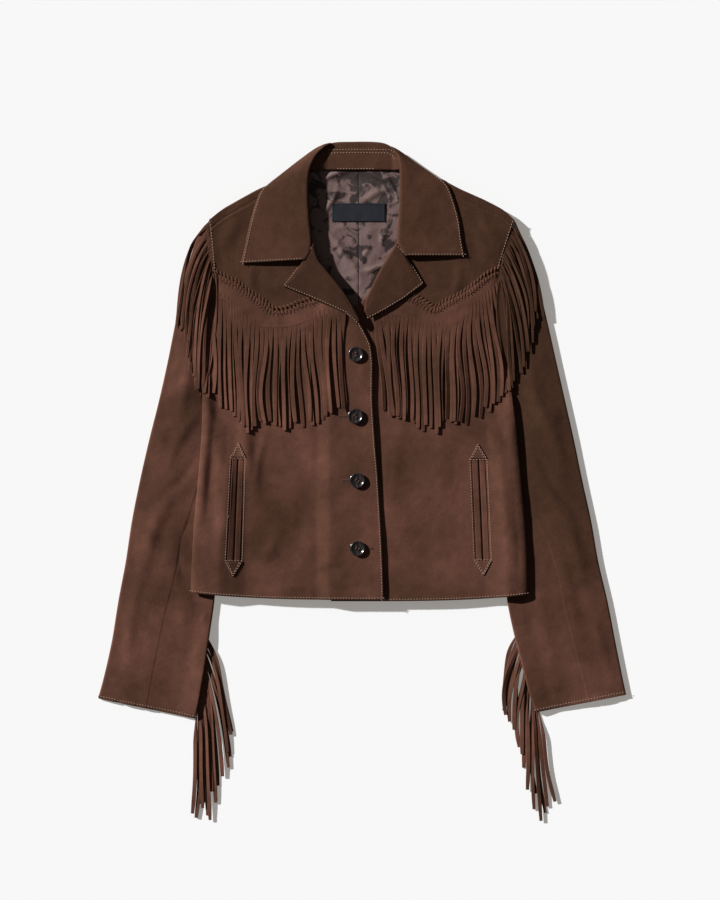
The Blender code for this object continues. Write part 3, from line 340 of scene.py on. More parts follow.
LINING_CREASES = [
    Crease(-34.9, 382.3, 20.0, 22.0, 3.0, 2.0, 4.0),
    Crease(22.2, 384.8, -25.0, 20.0, 2.6, 1.9, -3.0),
    Crease(37.5, 367.0, -60.0, 16.0, 2.4, 1.6, 2.0),
    Crease(17.1, 356.9, 30.0, 24.0, 4.5, 1.7, 5.0),
    Crease(-41.3, 354.3, 60.0, 20.0, 3.2, 1.7, -4.0),
    Crease(-22.2, 313.7, -30.0, 18.0, 4.0, 1.8, 3.0),
    Crease(-32.4, 293.4, -55.0, 24.0, 4.5, 1.8, 4.0),
    Crease(28.6, 308.6, 65.0, 12.0, 3.0, 1.3, 2.0),
    Crease(-15.9, 273.1, -50.0, 20.0, 4.5, 1.9, 3.0),
    Crease(14.6, 268.0, 18.0, 20.0, 3.2, 1.7, -2.0),
    Crease(5.7, 285.8, 55.0, 10.0, 3.0, 1.3, 2.0),
    Crease(-46.4, 326.4, 84.0, 22.0, 2.6, 1.3, 2.0),
]

POCKETS = {
    "left": Pocket(-157.6, 26.9, -163.0, -103.8, 9.4, 10.6),
    "right": Pocket(147.0, 25.0, 152.5, -102.8, 10.8, 10.9),
}
POCKET_TAB_LENGTH = 18.5
BUTTONS = [(-8.3, 157.7), (-8.8, 79.6), (-6.5, -1.8), (-6.2, -87.8)]
BUTTONHOLES = [
    (-29.8, 79.5, -19.1, 79.6),
    (-26.0, -2.0, -16.5, -1.8),
    (4.4, -87.9, 12.7, -88.0),
]
LABEL_BOX = (-38.7, 326.4, 28.6, 349.6)

# Brightness of each suede, its share of painted shade (the look of nap brushed from the light, painted into its
# colour), and the heights (m) between which that share comes in
SUEDE_SHADES = {
    "brushed_suede": (1.0, 0.0, -1.0, 1.0),
    "brushed_suede_sleeve_right": (0.97, 1.0, -0.21, -0.03),
    "brushed_suede_yoke": (1.0, 0.93, -1.0, -0.9),
    "brushed_suede_collar": (1.0, 0.62, -1.0, -0.9),
    "brushed_suede_stand": (1.0, 0.7, -1.0, -0.9),
    "brushed_suede_lapel_left": (0.80, 1.0, -1.0, -0.9),
    "brushed_suede_lapel_right": (1.0, 0.72, -1.0, -0.9),
    "brushed_suede_pocket": (0.98, 0.15, -1.0, -0.9),
    "brushed_suede_fan_right": (0.9, 0.9, -1.0, -0.9),
    "laced_suede": (1.0, 0.3, -1.0, -0.9),
}

# Rows of stitching on the stand of the collar
STAND_STITCHES = [
    [(-42.5, 417.0), (-20.0, 417.8), (10.0, 417.8), (36.0, 417.2), (40.0, 414.5)],
    [(-42.5, 413.0), (-20.0, 413.7), (10.0, 413.7), (32.0, 413.2), (37.5, 410.5), (40.0, 406.0)],
    [(-31.0, 393.2), (13.4, 393.2)],
]

SIDE_ROLL = 8.0
NARROWEST_CUT = 0.0102
HEM_RISE = 9.0
HEM_HALF_WIDTH = 217.0
SHOULDER_SEAM = 11.5
POCKET_SLIT = 0.9
LINING_SEAM_X = -5.1
LACING_DEPTH = 9.5
POCKET_HOLLOW = 1.5
HEM_LIFT = 3.0

# Camera and light
CAMERA_HEIGHT = 3000.0
PHOTO_LONG_SIDE = 1143.0
SUN_ELEVATION = 23.0
SUN_STRENGTH = 8.6
FILL_STRENGTH = 0.11

made = {}


class JacketSizes(bpy.types.PropertyGroup):
    """Sizes of the sewing and trimming."""

    stitch_pitch: FloatProperty(
        name="Stitch pitch", description="Distance from stitch to stitch", default=0.0036, unit="LENGTH"
    )
    stitch_length: FloatProperty(
        name="Stitch length", description="Thread that shows in a stitch", default=0.0025, unit="LENGTH"
    )
    thread_width: FloatProperty(
        name="Thread width", description="Thickness of the sewing thread", default=0.00092, unit="LENGTH"
    )
    strand_width: FloatProperty(
        name="Strand width", description="Width of a front fringe strand", default=0.0054, unit="LENGTH"
    )
    strand_thickness: FloatProperty(
        name="Strand thickness", description="Thickness of the fringe suede", default=0.0012, unit="LENGTH"
    )
    front_strands: IntProperty(
        name="Front strands", description="Strands of fringe on each front", default=35, min=8, max=60
    )
    shoulder_strands: IntProperty(
        name="Shoulder strands", description="Strands of fringe at each armhole", default=24, min=4, max=30
    )
    sleeve_strands: IntProperty(
        name="Sleeve strands", description="Strands of fringe on each sleeve", default=18, min=4, max=30
    )
    button_diameter: FloatProperty(
        name="Button diameter", description="Width of each button", default=0.0195, unit="LENGTH"
    )


class JacketColours(bpy.types.PropertyGroup):
    """Colours of the suede, trimming and studio."""

    suede: FloatVectorProperty(
        name="Suede", description="Suede where its nap lies towards the light",
        default=(0.098, 0.0415, 0.0285), subtype="COLOR", min=0.0, max=1.0,
    )
    suede_dark: FloatVectorProperty(
        name="Suede shade", description="Suede where its nap is brushed the other way",
        default=(0.0455, 0.0208, 0.0120), subtype="COLOR", min=0.0, max=1.0,
    )
    thread: FloatVectorProperty(
        name="Thread", description="Topstitching thread",
        default=(0.31, 0.21, 0.155), subtype="COLOR", min=0.0, max=1.0,
    )
    lining: FloatVectorProperty(
        name="Lining", description="Satin lining",
        default=(0.124, 0.077, 0.070), subtype="COLOR", min=0.0, max=1.0,
    )
    label: FloatVectorProperty(
        name="Label", description="Woven neck label",
        default=(0.0058, 0.0070, 0.0104), subtype="COLOR", min=0.0, max=1.0,
    )
    button: FloatVectorProperty(
        name="Button", description="Polished horn of the buttons",
        default=(0.010, 0.009, 0.010), subtype="COLOR", min=0.0, max=1.0,
    )
    floor: FloatVectorProperty(
        name="Floor", description="White acrylic of the light table",
        default=(0.585, 0.597, 0.610), subtype="COLOR", min=0.0, max=1.0,
    )
    # The floor's glow is painted light that lightens its shadows
    floor_glow: FloatVectorProperty(
        name="Floor glow", description="Light that comes up through the table",
        default=(0.252, 0.238, 0.222), subtype="COLOR", min=0.0, max=1.0,
    )


# Curves and heights


def ramp(low, high, value):
    """A smooth step from 0 at low to 1 at high."""
    share = np.clip((value - low) / (high - low), 0.0, 1.0)
    return share * share * (3.0 - 2.0 * share)


def mix(start, end, share):
    return start + (end - start) * share


def smooth_rows(rows, count):
    """The rows of a table read as smooth curves, at a number of even steps."""
    values = np.array(rows, float)
    last = len(values) - 1
    position = np.linspace(0.0, last, count)
    index = np.minimum(position.astype(int), last - 1)
    s = (position - index)[:, None]
    p0 = values[np.maximum(index - 1, 0)]
    p1 = values[index]
    p2 = values[index + 1]
    p3 = values[np.minimum(index + 2, last)]
    start = (p2 - p0) / 2.0
    end = (p3 - p1) / 2.0
    first = (2 * s**3 - 3 * s**2 + 1) * p1 + (s**3 - 2 * s**2 + s) * start
    return first + (3 * s**2 - 2 * s**3) * p2 + (s**3 - s**2) * end


def ripple(x, y, size, seed):
    """Smooth random values from -1 to 1 that vary over a size in millimetres."""
    grid = np.random.default_rng(seed).uniform(-1.0, 1.0, (64, 64))
    u = np.asarray(x) / size + 32.0
    v = np.asarray(y) / size + 32.0
    i = np.floor(u).astype(int)
    j = np.floor(v).astype(int)
    a = ramp(0.0, 1.0, u - i)
    b = ramp(0.0, 1.0, v - j)
    low = mix(grid[i % 64, j % 64], grid[(i + 1) % 64, j % 64], a)
    high = mix(grid[i % 64, (j + 1) % 64], grid[(i + 1) % 64, (j + 1) % 64], a)
    return mix(low, high, b)


def creased(table, x, y):
    """What the soft folds of a table add to the height at each point."""
    total = np.zeros_like(x)
    for fold in table:
        turn = math.radians(fold.angle)
        along = (x - fold.x) * math.cos(turn) + (y - fold.y) * math.sin(turn)
        across = (y - fold.y) * math.cos(turn) - (x - fold.x) * math.sin(turn)
        across = across - fold.bow * (1.0 - (along / fold.length) ** 2)
        total += fold.height * np.exp(-1.6 * (along / fold.length) ** 2 - (across / fold.width) ** 2)
    return total


def soften(values, times):
    """A grid of heights averaged with its neighbours."""
    for _ in range(times):
        padded = np.pad(values, 1, mode="edge")
        sides = padded[:-2, 1:-1] + padded[2:, 1:-1] + padded[1:-1, :-2] + padded[1:-1, 2:]
        values = (2.0 * values + sides) / 6.0
    return values


def tree_of(objects):
    """Faces of several meshes, in millimetres, ready for rays."""
    points = []
    faces = []
    for thing in objects:
        start = len(points)
        points += [vertex.co / MM for vertex in thing.data.vertices]
        faces += [[start + index for index in face.vertices] for face in thing.data.polygons]
    return BVHTree.FromPolygons(points, faces)


def cad_tree(*nodes):
    return tree_of([frame["nodes"][node] for node in nodes])


def heights(tree, x, y, upward=False):
    """Highest surface under each point, or the lowest one over it, with misses filled from beside."""
    found = np.full(x.shape, np.nan)
    start = -RAY_HEIGHT if upward else RAY_HEIGHT
    direction = UP if upward else DOWN
    for index in np.ndindex(x.shape):
        hit = tree.ray_cast(Vector((x[index], y[index], start)), direction)[0]
        if hit is not None:
            found[index] = hit.z
    rows = found if found.ndim == 2 else found[None, :]
    for row in rows:
        known = np.flatnonzero(~np.isnan(row))
        if len(known):
            row[:] = np.interp(np.arange(len(row)), known, row[known])
    known = np.flatnonzero(~np.isnan(rows[:, 0]))
    for number in np.flatnonzero(np.isnan(rows[:, 0])):
        rows[number] = rows[known[np.argmin(abs(known - number))]]
    return found


def cad_span(node):
    """The lowest and highest x of a CAD node at any y, as two functions."""
    mesh = frame["nodes"][node].data
    points = np.array([vertex.co for vertex in mesh.vertices]) / MM
    edges = np.array([edge.vertices for edge in mesh.edges])
    start = points[edges[:, 0]]
    end = points[edges[:, 1]]
    levels = np.arange(points[:, 1].min() + 0.05, points[:, 1].max() - 0.05, 1.5)
    low = []
    high = []
    for level in levels:
        cross = (start[:, 1] - level) * (end[:, 1] - level) < 0.0
        share = (level - start[cross, 1]) / (end[cross, 1] - start[cross, 1])
        x = mix(start[cross, 0], end[cross, 0], share)
        low.append(x.min())
        high.append(x.max())

    def left(y):
        return np.interp(y, levels, low)

    def right(y):
        return np.interp(y, levels, high)

    return left, right


# Meshes


def piece(name, points, faces, surface, smooth=True):
    """An object at the origin from points in millimetres, with its faces outwards."""
    built = bmesh.new()
    made_points = [built.verts.new(point) for point in (np.asarray(points) * MM).tolist()]
    for face in faces:
        built.faces.new([made_points[index] for index in face])
    bmesh.ops.delete(built, geom=[v for v in built.verts if not v.link_faces], context="VERTS")
    if built.calc_volume(signed=True) < 0.0:
        bmesh.ops.reverse_faces(built, faces=built.faces)
    mesh = bpy.data.meshes.new(name)
    built.to_mesh(mesh)
    built.free()
    if smooth:
        mesh.shade_smooth()
    mesh.materials.append(surface)
    thing = bpy.data.objects.new(name, mesh)
    bpy.context.scene.collection.objects.link(thing)
    return thing


def quads(index):
    """The faces of a grid of point numbers."""
    return np.stack([index[:-1, :-1], index[:-1, 1:], index[1:, 1:], index[1:, :-1]], axis=-1).reshape(-1, 4)


def normals_of(grid):
    """A unit normal for each point of a grid, upwards on the whole."""
    across = np.cross(np.gradient(grid, axis=0), np.gradient(grid, axis=1))
    size = np.linalg.norm(across, axis=2, keepdims=True)
    unit = across / np.maximum(size, 1e-9)
    return unit if unit[..., 2].sum() >= 0.0 else -unit


def edge_distance(grid):
    """How far each point of a grid lies from the nearest of its four edges."""
    by_row = np.linalg.norm(np.diff(grid, axis=0), axis=2).cumsum(axis=0)
    by_column = np.linalg.norm(np.diff(grid, axis=1), axis=2).cumsum(axis=1)
    down = np.vstack([np.zeros((1, grid.shape[1])), by_row])
    over = np.hstack([np.zeros((grid.shape[0], 1)), by_column])
    return np.minimum.reduce([down, down[-1] - down, over, over[:, -1:] - over])


def grid_area(grid):
    """The area of a grid of points, in square metres."""
    across = np.cross(np.gradient(grid, axis=0), np.gradient(grid, axis=1))
    share = np.ones(grid.shape[:2])
    share[[0, -1], :] *= 0.5
    share[:, [0, -1]] *= 0.5
    return float((np.linalg.norm(across, axis=2) * share).sum()) * MM * MM


def keep(thing, nodes, middle, wall, cut=None):
    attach(thing, BODY)
    if nodes:
        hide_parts(*nodes)
    area = grid_area(middle)
    if cut is None:
        width = max(np.linalg.norm(np.diff(middle, axis=1), axis=2).sum(axis=1).max() * MM, NARROWEST_CUT)
        length = np.linalg.norm(np.diff(middle, axis=0), axis=2).sum(axis=0).max() * MM
        cut = (width, max(length, area / width))
    made[thing.name] = {"object": thing, "middle": middle, "normals": normals_of(middle), "half": wall / 2.0}
    return thing


def cloth(name, middle, wall, surface, nodes=()):
    """A sheet of cloth about a grid of middle points, with its edges rounded off."""
    reach = wall * 0.6
    near = np.clip(1.0 - edge_distance(middle) / reach, 0.0, 1.0)
    half = wall / 2.0 * np.sqrt(np.maximum(1.0 - near**2, 0.0))
    offset = normals_of(middle) * half[..., None]
    rows, columns = middle.shape[:2]
    upper = np.arange(rows * columns).reshape(rows, columns)
    lower = upper + rows * columns
    for line in (np.s_[0, :], np.s_[-1, :], np.s_[:, 0], np.s_[:, -1]):
        lower[line] = upper[line]
    points = np.concatenate([(middle + offset).reshape(-1, 3), (middle - offset).reshape(-1, 3)])
    faces = np.concatenate([quads(upper), quads(lower)[:, ::-1]])
    thing = piece(name, points, faces.tolist(), surface)
    return keep(thing, nodes, middle, wall)


def across_steps(width, step, wall):
    """Distances across a piece, close together near both edges."""
    near = np.array([0.0, 0.08, 0.25, 0.55, 0.95, 1.5]) * wall * 0.65
    inner = np.linspace(near[-1], width - near[-1], max(int(width / step), 4))
    return np.concatenate([near[:-1], inner, width - near[:-1][::-1]])


def panel_grid(left, right, top_y, bottom_y, step, wall, shift):
    """Plan points of a panel, row by row from the top."""
    down = across_steps(top_y - bottom_y, step, wall)
    level = top_y - down
    steady = np.clip(level, bottom_y + 10.0, top_y - 1.0)
    first = soften(np.repeat(left(steady)[:, None], 2, axis=1), 6)[:, 0]
    last = soften(np.repeat(right(steady)[:, None], 2, axis=1), 6)[:, 0]
    width = (last - first).max()
    share = across_steps(width, step, wall) / width
    x = first[:, None] + (last - first)[:, None] * share[None, :]
    y = np.repeat(level[:, None], x.shape[1], axis=1)
    return x, y + shift(x, y, bottom_y)


def edge_run(name, side, inset, lift=0.15):
    """Points along an edge of a cloth piece, set in from it and lying on its face."""
    kept = made[name]
    surface = kept["middle"] + kept["normals"] * (kept["half"] + lift)
    lines = {"start": surface, "end": surface[::-1], "left": surface.transpose(1, 0, 2)}
    lines["right"] = surface.transpose(1, 0, 2)[::-1]
    grid = lines[side]
    run = []
    for column in range(grid.shape[1]):
        line = grid[:, column]
        along = np.concatenate([[0.0], np.linalg.norm(np.diff(line, axis=0), axis=1).cumsum()])
        run.append([np.interp(inset, along, line[:, axis]) for axis in range(3)])
    return np.array(run)


def on_surface(tree, plan, lift=0.2):
    """A path of plan points laid on what carries it."""
    plan = np.array(plan, float)
    parts = [plan[:1]]
    for start, end in zip(plan, plan[1:]):
        count = max(int(np.linalg.norm(end - start) / 2.0), 1)
        parts.append(start + (end - start) * (np.arange(1, count + 1) / count)[:, None])
    path = np.concatenate(parts)
    return np.column_stack([path, heights(tree, path[:, 0], path[:, 1]) + lift])


# Curves and geometry nodes


def curve_of(name, paths, radii=None, tilts=None):
    """A curve object with one open spline for each path, in metres."""
    data = bpy.data.curves.new(name, "CURVE")
    data.dimensions = "3D"
    data.twist_mode = "Z_UP"
    for number, path in enumerate(paths):
        spline = data.splines.new("POLY")
        spline.points.add(len(path) - 1)
        flat = np.column_stack([np.asarray(path) * MM, np.ones(len(path))])
        spline.points.foreach_set("co", flat.ravel())
        if radii is not None:
            spline.points.foreach_set("radius", radii[number])
            spline.points.foreach_set("tilt", tilts[number])
    thing = bpy.data.objects.new(name, data)
    bpy.context.scene.collection.objects.link(thing)
    return thing


def node_group(name, sockets):
    """A geometry node group with its input and output nodes."""
    group = bpy.data.node_groups.new(name, "GeometryNodeTree")
    group.interface.new_socket("Geometry", in_out="OUTPUT", socket_type="NodeSocketGeometry")
    group.interface.new_socket("Geometry", in_out="INPUT", socket_type="NodeSocketGeometry")
    for label, kind in sockets:
        group.interface.new_socket(label, in_out="INPUT", socket_type=kind)
    return group, group.nodes.new("NodeGroupInput"), group.nodes.new("NodeGroupOutput")


def stitch_group():
    """Stitches at an even pitch along each spline."""
    group, given, result = node_group("Stitch row", [
        ("Pitch", "NodeSocketFloat"), ("Length", "NodeSocketFloat"), ("Width", "NodeSocketFloat"),
        ("Height", "NodeSocketFloat"), ("Slant", "NodeSocketFloat"), ("Seed", "NodeSocketInt"),
        ("Surface", "NodeSocketMaterial"),
    ])
    nodes = group.nodes
    link = group.links.new
    points = nodes.new("GeometryNodeCurveToPoints")
    points.mode = "LENGTH"
    align = nodes.new("FunctionNodeAlignRotationToVector")
    align.axis = "X"
    align.pivot_axis = "Z"
    stray = nodes.new("FunctionNodeRandomValue")
    stray.data_type = "FLOAT"
    stray.inputs[2].default_value = -0.12
    stray.inputs[3].default_value = 0.12
    total = nodes.new("ShaderNodeMath")
    turn = nodes.new("ShaderNodeCombineXYZ")
    euler = nodes.new("FunctionNodeEulerToRotation")
    rotate = nodes.new("FunctionNodeRotateRotation")
    rotate.rotation_space = "LOCAL"
    size = nodes.new("ShaderNodeCombineXYZ")
    thread = nodes.new("GeometryNodeMeshUVSphere")
    thread.inputs["Segments"].default_value = 8
    thread.inputs["Rings"].default_value = 5
    thread.inputs["Radius"].default_value = 0.5
    smooth = nodes.new("GeometryNodeSetShadeSmooth")
    place = nodes.new("GeometryNodeInstanceOnPoints")
    realize = nodes.new("GeometryNodeRealizeInstances")
    paint = nodes.new("GeometryNodeSetMaterial")
    link(given.outputs["Geometry"], points.inputs["Curve"])
    link(given.outputs["Pitch"], points.inputs["Length"])
    link(points.outputs["Points"], place.inputs["Points"])
    link(points.outputs["Tangent"], align.inputs["Vector"])
    link(given.outputs["Seed"], stray.inputs["Seed"])
    link(given.outputs["Slant"], total.inputs[0])
    link(stray.outputs[1], total.inputs[1])
    link(total.outputs[0], turn.inputs["Z"])
    link(turn.outputs[0], euler.inputs[0])
    link(align.outputs[0], rotate.inputs["Rotation"])
    link(euler.outputs[0], rotate.inputs["Rotate By"])
    link(rotate.outputs[0], place.inputs["Rotation"])
    link(given.outputs["Length"], size.inputs["X"])
    link(given.outputs["Width"], size.inputs["Y"])
    link(given.outputs["Height"], size.inputs["Z"])
    link(size.outputs[0], place.inputs["Scale"])
    link(thread.outputs["Mesh"], smooth.inputs["Geometry"])
    link(smooth.outputs[0], place.inputs["Instance"])
    link(place.outputs[0], realize.inputs[0])
    link(realize.outputs[0], paint.inputs["Geometry"])
    link(given.outputs["Surface"], paint.inputs["Material"])
    link(paint.outputs[0], result.inputs[0])
    return group


def strand_group():
    """A flat strand of suede along each spline."""
    group, given, result = node_group("Fringe strand", [
        ("Width", "NodeSocketFloat"), ("Thickness", "NodeSocketFloat"), ("Rounding", "NodeSocketFloat"),
        ("Surface", "NodeSocketMaterial"),
    ])
    nodes = group.nodes
    link = group.links.new
    section = nodes.new("GeometryNodeCurvePrimitiveQuadrilateral")
    fillet = nodes.new("GeometryNodeFilletCurve")
    fillet.mode = "POLY"
    fillet.inputs["Count"].default_value = 1
    fillet.inputs["Limit Radius"].default_value = True
    radius = nodes.new("GeometryNodeInputRadius")
    sweep = nodes.new("GeometryNodeCurveToMesh")
    sweep.inputs["Fill Caps"].default_value = True
    realize = nodes.new("GeometryNodeRealizeInstances")
    paint = nodes.new("GeometryNodeSetMaterial")
    link(given.outputs["Width"], section.inputs["Width"])
    link(given.outputs["Thickness"], section.inputs["Height"])
    link(section.outputs[0], fillet.inputs["Curve"])
    link(given.outputs["Rounding"], fillet.inputs["Radius"])
    link(given.outputs["Geometry"], sweep.inputs["Curve"])
    link(fillet.outputs[0], sweep.inputs["Profile Curve"])
    link(radius.outputs[0], sweep.inputs["Scale"])
    link(sweep.outputs[0], realize.inputs[0])
    link(realize.outputs[0], paint.inputs["Geometry"])
    link(given.outputs["Surface"], paint.inputs["Material"])
    link(paint.outputs[0], result.inputs[0])
    return group


def grown(name, curve, group, values):
    """The plain mesh that a node group makes of a curve object."""
    growth = curve.modifiers.new("growth", "NODES")
    growth.node_group = group
    for socket in group.interface.items_tree:
        if socket.item_type == "SOCKET" and socket.in_out == "INPUT" and socket.name in values:
            growth[socket.identifier] = values[socket.name]
    bpy.context.view_layer.update()
    evaluated = curve.evaluated_get(bpy.context.evaluated_depsgraph_get())
    mesh = bpy.data.meshes.new_from_object(evaluated)
    thing = bpy.data.objects.new(name, mesh)
    bpy.context.scene.collection.objects.link(thing)
    data = curve.data
    bpy.data.objects.remove(curve)
    bpy.data.curves.remove(data)
    if not mesh.polygons:
        raise RuntimeError(f"{name} came out empty")
    mesh.name = name
    return thing


def sewn(name, paths, surface, slot, pitch, length, width, height, slant=0.0, seed=1):
    """A row of stitches along each path, as one piece."""
    group = bpy.data.node_groups.get("Stitch row") or stitch_group()
    values = {
        "Pitch": pitch, "Length": length, "Width": width, "Height": height,
        "Slant": slant, "Seed": seed, "Surface": surface,
    }
    thing = grown(name, curve_of(name + "_path", paths), group, values)
    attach(thing, BODY)
    return thing


# Materials


def new_material(name):
    made_new = bpy.data.materials.new(name)
    made_new.use_nodes = True
    tree = made_new.node_tree
    shader = tree.nodes["Principled BSDF"]
    where = tree.nodes.new("ShaderNodeTexCoord")
    return made_new, tree, shader, where.outputs["Object"]


def noise(tree, where, size, detail=3.0, roughness=0.55, distortion=0.0):
    """Noise whose patches are about size metres across."""
    node = tree.nodes.new("ShaderNodeTexNoise")
    node.inputs["Scale"].default_value = 1.0 / size
    node.inputs["Detail"].default_value = detail
    node.inputs["Roughness"].default_value = roughness
    node.inputs["Distortion"].default_value = distortion
    tree.links.new(where, node.inputs["Vector"])
    return node.outputs["Fac"]


def spread(tree, value, low, high):
    """A value stretched so that low becomes 0 and high becomes 1."""
    node = tree.nodes.new("ShaderNodeMapRange")
    node.inputs["From Min"].default_value = low
    node.inputs["From Max"].default_value = high
    tree.links.new(value, node.inputs["Value"])
    return node.outputs["Result"]


def axis_of(tree, where, axis):
    """One coordinate of a place, in metres."""
    node = tree.nodes.new("ShaderNodeSeparateXYZ")
    tree.links.new(where, node.inputs[0])
    return node.outputs[axis]


def blend(tree, share, first, second):
    """A mix of two colours, each a socket or a plain colour."""
    node = tree.nodes.new("ShaderNodeMix")
    node.data_type = "RGBA"
    for index, value in ((6, first), (7, second)):
        if isinstance(value, bpy.types.NodeSocket):
            tree.links.new(value, node.inputs[index])
        else:
            node.inputs[index].default_value = (*value[:3], 1.0)
    if isinstance(share, bpy.types.NodeSocket):
        tree.links.new(share, node.inputs[0])
    else:
        node.inputs[0].default_value = share
    return node.outputs[2]


def bump(tree, shader, fine, coarse, fine_share, distance, strength):
    """Relief from two sockets."""
    total = tree.nodes.new("ShaderNodeMath")
    total.operation = "MULTIPLY_ADD"
    total.inputs[1].default_value = fine_share
    tree.links.new(fine, total.inputs[0])
    tree.links.new(coarse, total.inputs[2])
    node = tree.nodes.new("ShaderNodeBump")
    node.inputs["Distance"].default_value = distance
    node.inputs["Strength"].default_value = strength
    tree.links.new(total.outputs[0], node.inputs["Height"])
    tree.links.new(node.outputs["Normal"], shader.inputs["Normal"])


def shaded(tree, colour, value, low, high):
    """A colour made darker or lighter by a value: low at 0 and high at 1."""
    factor = tree.nodes.new("ShaderNodeMapRange")
    factor.inputs["From Min"].default_value = 0.3
    factor.inputs["From Max"].default_value = 0.7
    factor.inputs["To Min"].default_value = low
    factor.inputs["To Max"].default_value = high
    tree.links.new(value, factor.inputs["Value"])
    node = tree.nodes.new("ShaderNodeVectorMath")
    node.operation = "SCALE"
    tree.links.new(colour, node.inputs[0])
    tree.links.new(factor.outputs["Result"], node.inputs["Scale"])
    return node.outputs[0]


def suede_material(name, lit, shade, shade_share, low, high):
    """Brushed suede: cloudy nap, scuffs, mottling and fine pile, with a share of painted shade that darkens the whole
    piece or its upper part.
    """
    existing = bpy.data.materials.get(name)
    if existing:
        return existing
    made_new, tree, shader, where = new_material(name)
    clouds = spread(tree, noise(tree, where, 0.085, 3.0, 0.5, 0.35), 0.28, 0.66)
    scuffs = noise(tree, where, 0.030, 5.0, 0.62, 0.9)
    mottle = noise(tree, where, 0.012, 4.0, 0.6, 0.2)
    pile = noise(tree, where, 0.0012, 2.0, 0.7)
    # Painted shade: between the two heights, the lit colour gives way to the shade colour by the piece's share
    unshaded_share = spread(tree, axis_of(tree, where, "Y"), low, high)
    tree.nodes[-1].inputs["To Max"].default_value = 1.0 - shade_share
    tree.nodes[-1].inputs["To Min"].default_value = 1.0
    lying = tree.nodes.new("ShaderNodeMath")
    lying.operation = "MULTIPLY"
    tree.links.new(clouds, lying.inputs[0])
    tree.links.new(unshaded_share, lying.inputs[1])
    base = blend(tree, lying.outputs[0], shade, lit)
    base = shaded(tree, base, scuffs, 0.90, 1.12)
    base = shaded(tree, base, mottle, 0.90, 1.10)
    base = shaded(tree, base, pile, 0.86, 1.14)
    tree.links.new(base, shader.inputs["Base Color"])
    shader.inputs["Roughness"].default_value = 0.95
    shader.inputs["Specular IOR Level"].default_value = 0.06
    shader.inputs["Sheen Weight"].default_value = 0.02
    shader.inputs["Sheen Roughness"].default_value = 0.6
    shader.inputs["Sheen Tint"].default_value = (0.60, 0.36, 0.27, 1.0)
    bump(tree, shader, pile, mottle, 0.5, 0.0009, 0.6)
    return made_new


def thread_material(name, colour):
    existing = bpy.data.materials.get(name)
    if existing:
        return existing
    made_new, tree, shader, where = new_material(name)
    wear_and_shade = noise(tree, where, 0.004)
    twist = noise(tree, where, 0.0004, 1.0)
    dark = [value * 0.55 for value in colour]
    tree.links.new(blend(tree, wear_and_shade, dark, [value * 1.15 for value in colour]), shader.inputs["Base Color"])
    shader.inputs["Roughness"].default_value = 0.7
    shader.inputs["Specular IOR Level"].default_value = 0.2
    shader.inputs["Sheen Weight"].default_value = 0.03
    bump(tree, shader, twist, wear_and_shade, 1.0, 0.0002, 0.6)
    return made_new


def lining_material(name, colour):
    """Satin: a soft gloss, fine crosswise threads and dark patches of painted shade, more of them towards the collar.
    """
    made_new, tree, shader, where = new_material(name)
    # Painted shade: dark patches that grow towards the collar at the top of the lining
    wear_and_shade = tree.nodes.new("ShaderNodeMath")
    wear_and_shade.operation = "MULTIPLY_ADD"
    wear_and_shade.inputs[1].default_value = -0.12
    tree.links.new(spread(tree, axis_of(tree, where, "Y"), 0.330, 0.375), wear_and_shade.inputs[0])
    tree.links.new(noise(tree, where, 0.020, 4.0, 0.55, 0.9), wear_and_shade.inputs[2])
    painted_shade = spread(tree, wear_and_shade.outputs[0], 0.385, 0.455)
    weave = tree.nodes.new("ShaderNodeTexWave")
    weave.inputs["Scale"].default_value = 900.0
    weave.inputs["Distortion"].default_value = 0.4
    tree.links.new(where, weave.inputs["Vector"])
    dark = [value * 0.2 for value in colour]
    tree.links.new(blend(tree, painted_shade, dark, colour), shader.inputs["Base Color"])
    shader.inputs["Roughness"].default_value = 0.55
    shader.inputs["Specular IOR Level"].default_value = 0.2
    shader.inputs["Anisotropic"].default_value = 0.35
    shader.inputs["Sheen Weight"].default_value = 0.05
    creases = noise(tree, where, 0.013, 2.0, 0.5, 0.6)
    bump(tree, shader, weave.outputs["Fac"], creases, 0.03, 0.0016, 0.6)
    return made_new


def label_material(name, colour):
    """Close taffeta weave of a blank label."""
    made_new, tree, shader, where = new_material(name)
    weave = tree.nodes.new("ShaderNodeTexChecker")
    weave.inputs["Scale"].default_value = 1400.0
    weave.inputs["Color1"].default_value = (*[value * 1.9 for value in colour], 1.0)
    weave.inputs["Color2"].default_value = (*colour, 1.0)
    tree.links.new(where, weave.inputs["Vector"])
    cloudy = noise(tree, where, 0.012)
    lighter = [value * 2.2 for value in colour]
    base = blend(tree, spread(tree, cloudy, 0.4, 1.2), weave.outputs["Color"], lighter)
    tree.links.new(base, shader.inputs["Base Color"])
    shader.inputs["Roughness"].default_value = 0.75
    shader.inputs["Specular IOR Level"].default_value = 0.2
    shader.inputs["Sheen Weight"].default_value = 0.03
    bump(tree, shader, weave.outputs["Fac"], cloudy, 0.5, 0.0002, 0.6)
    return made_new


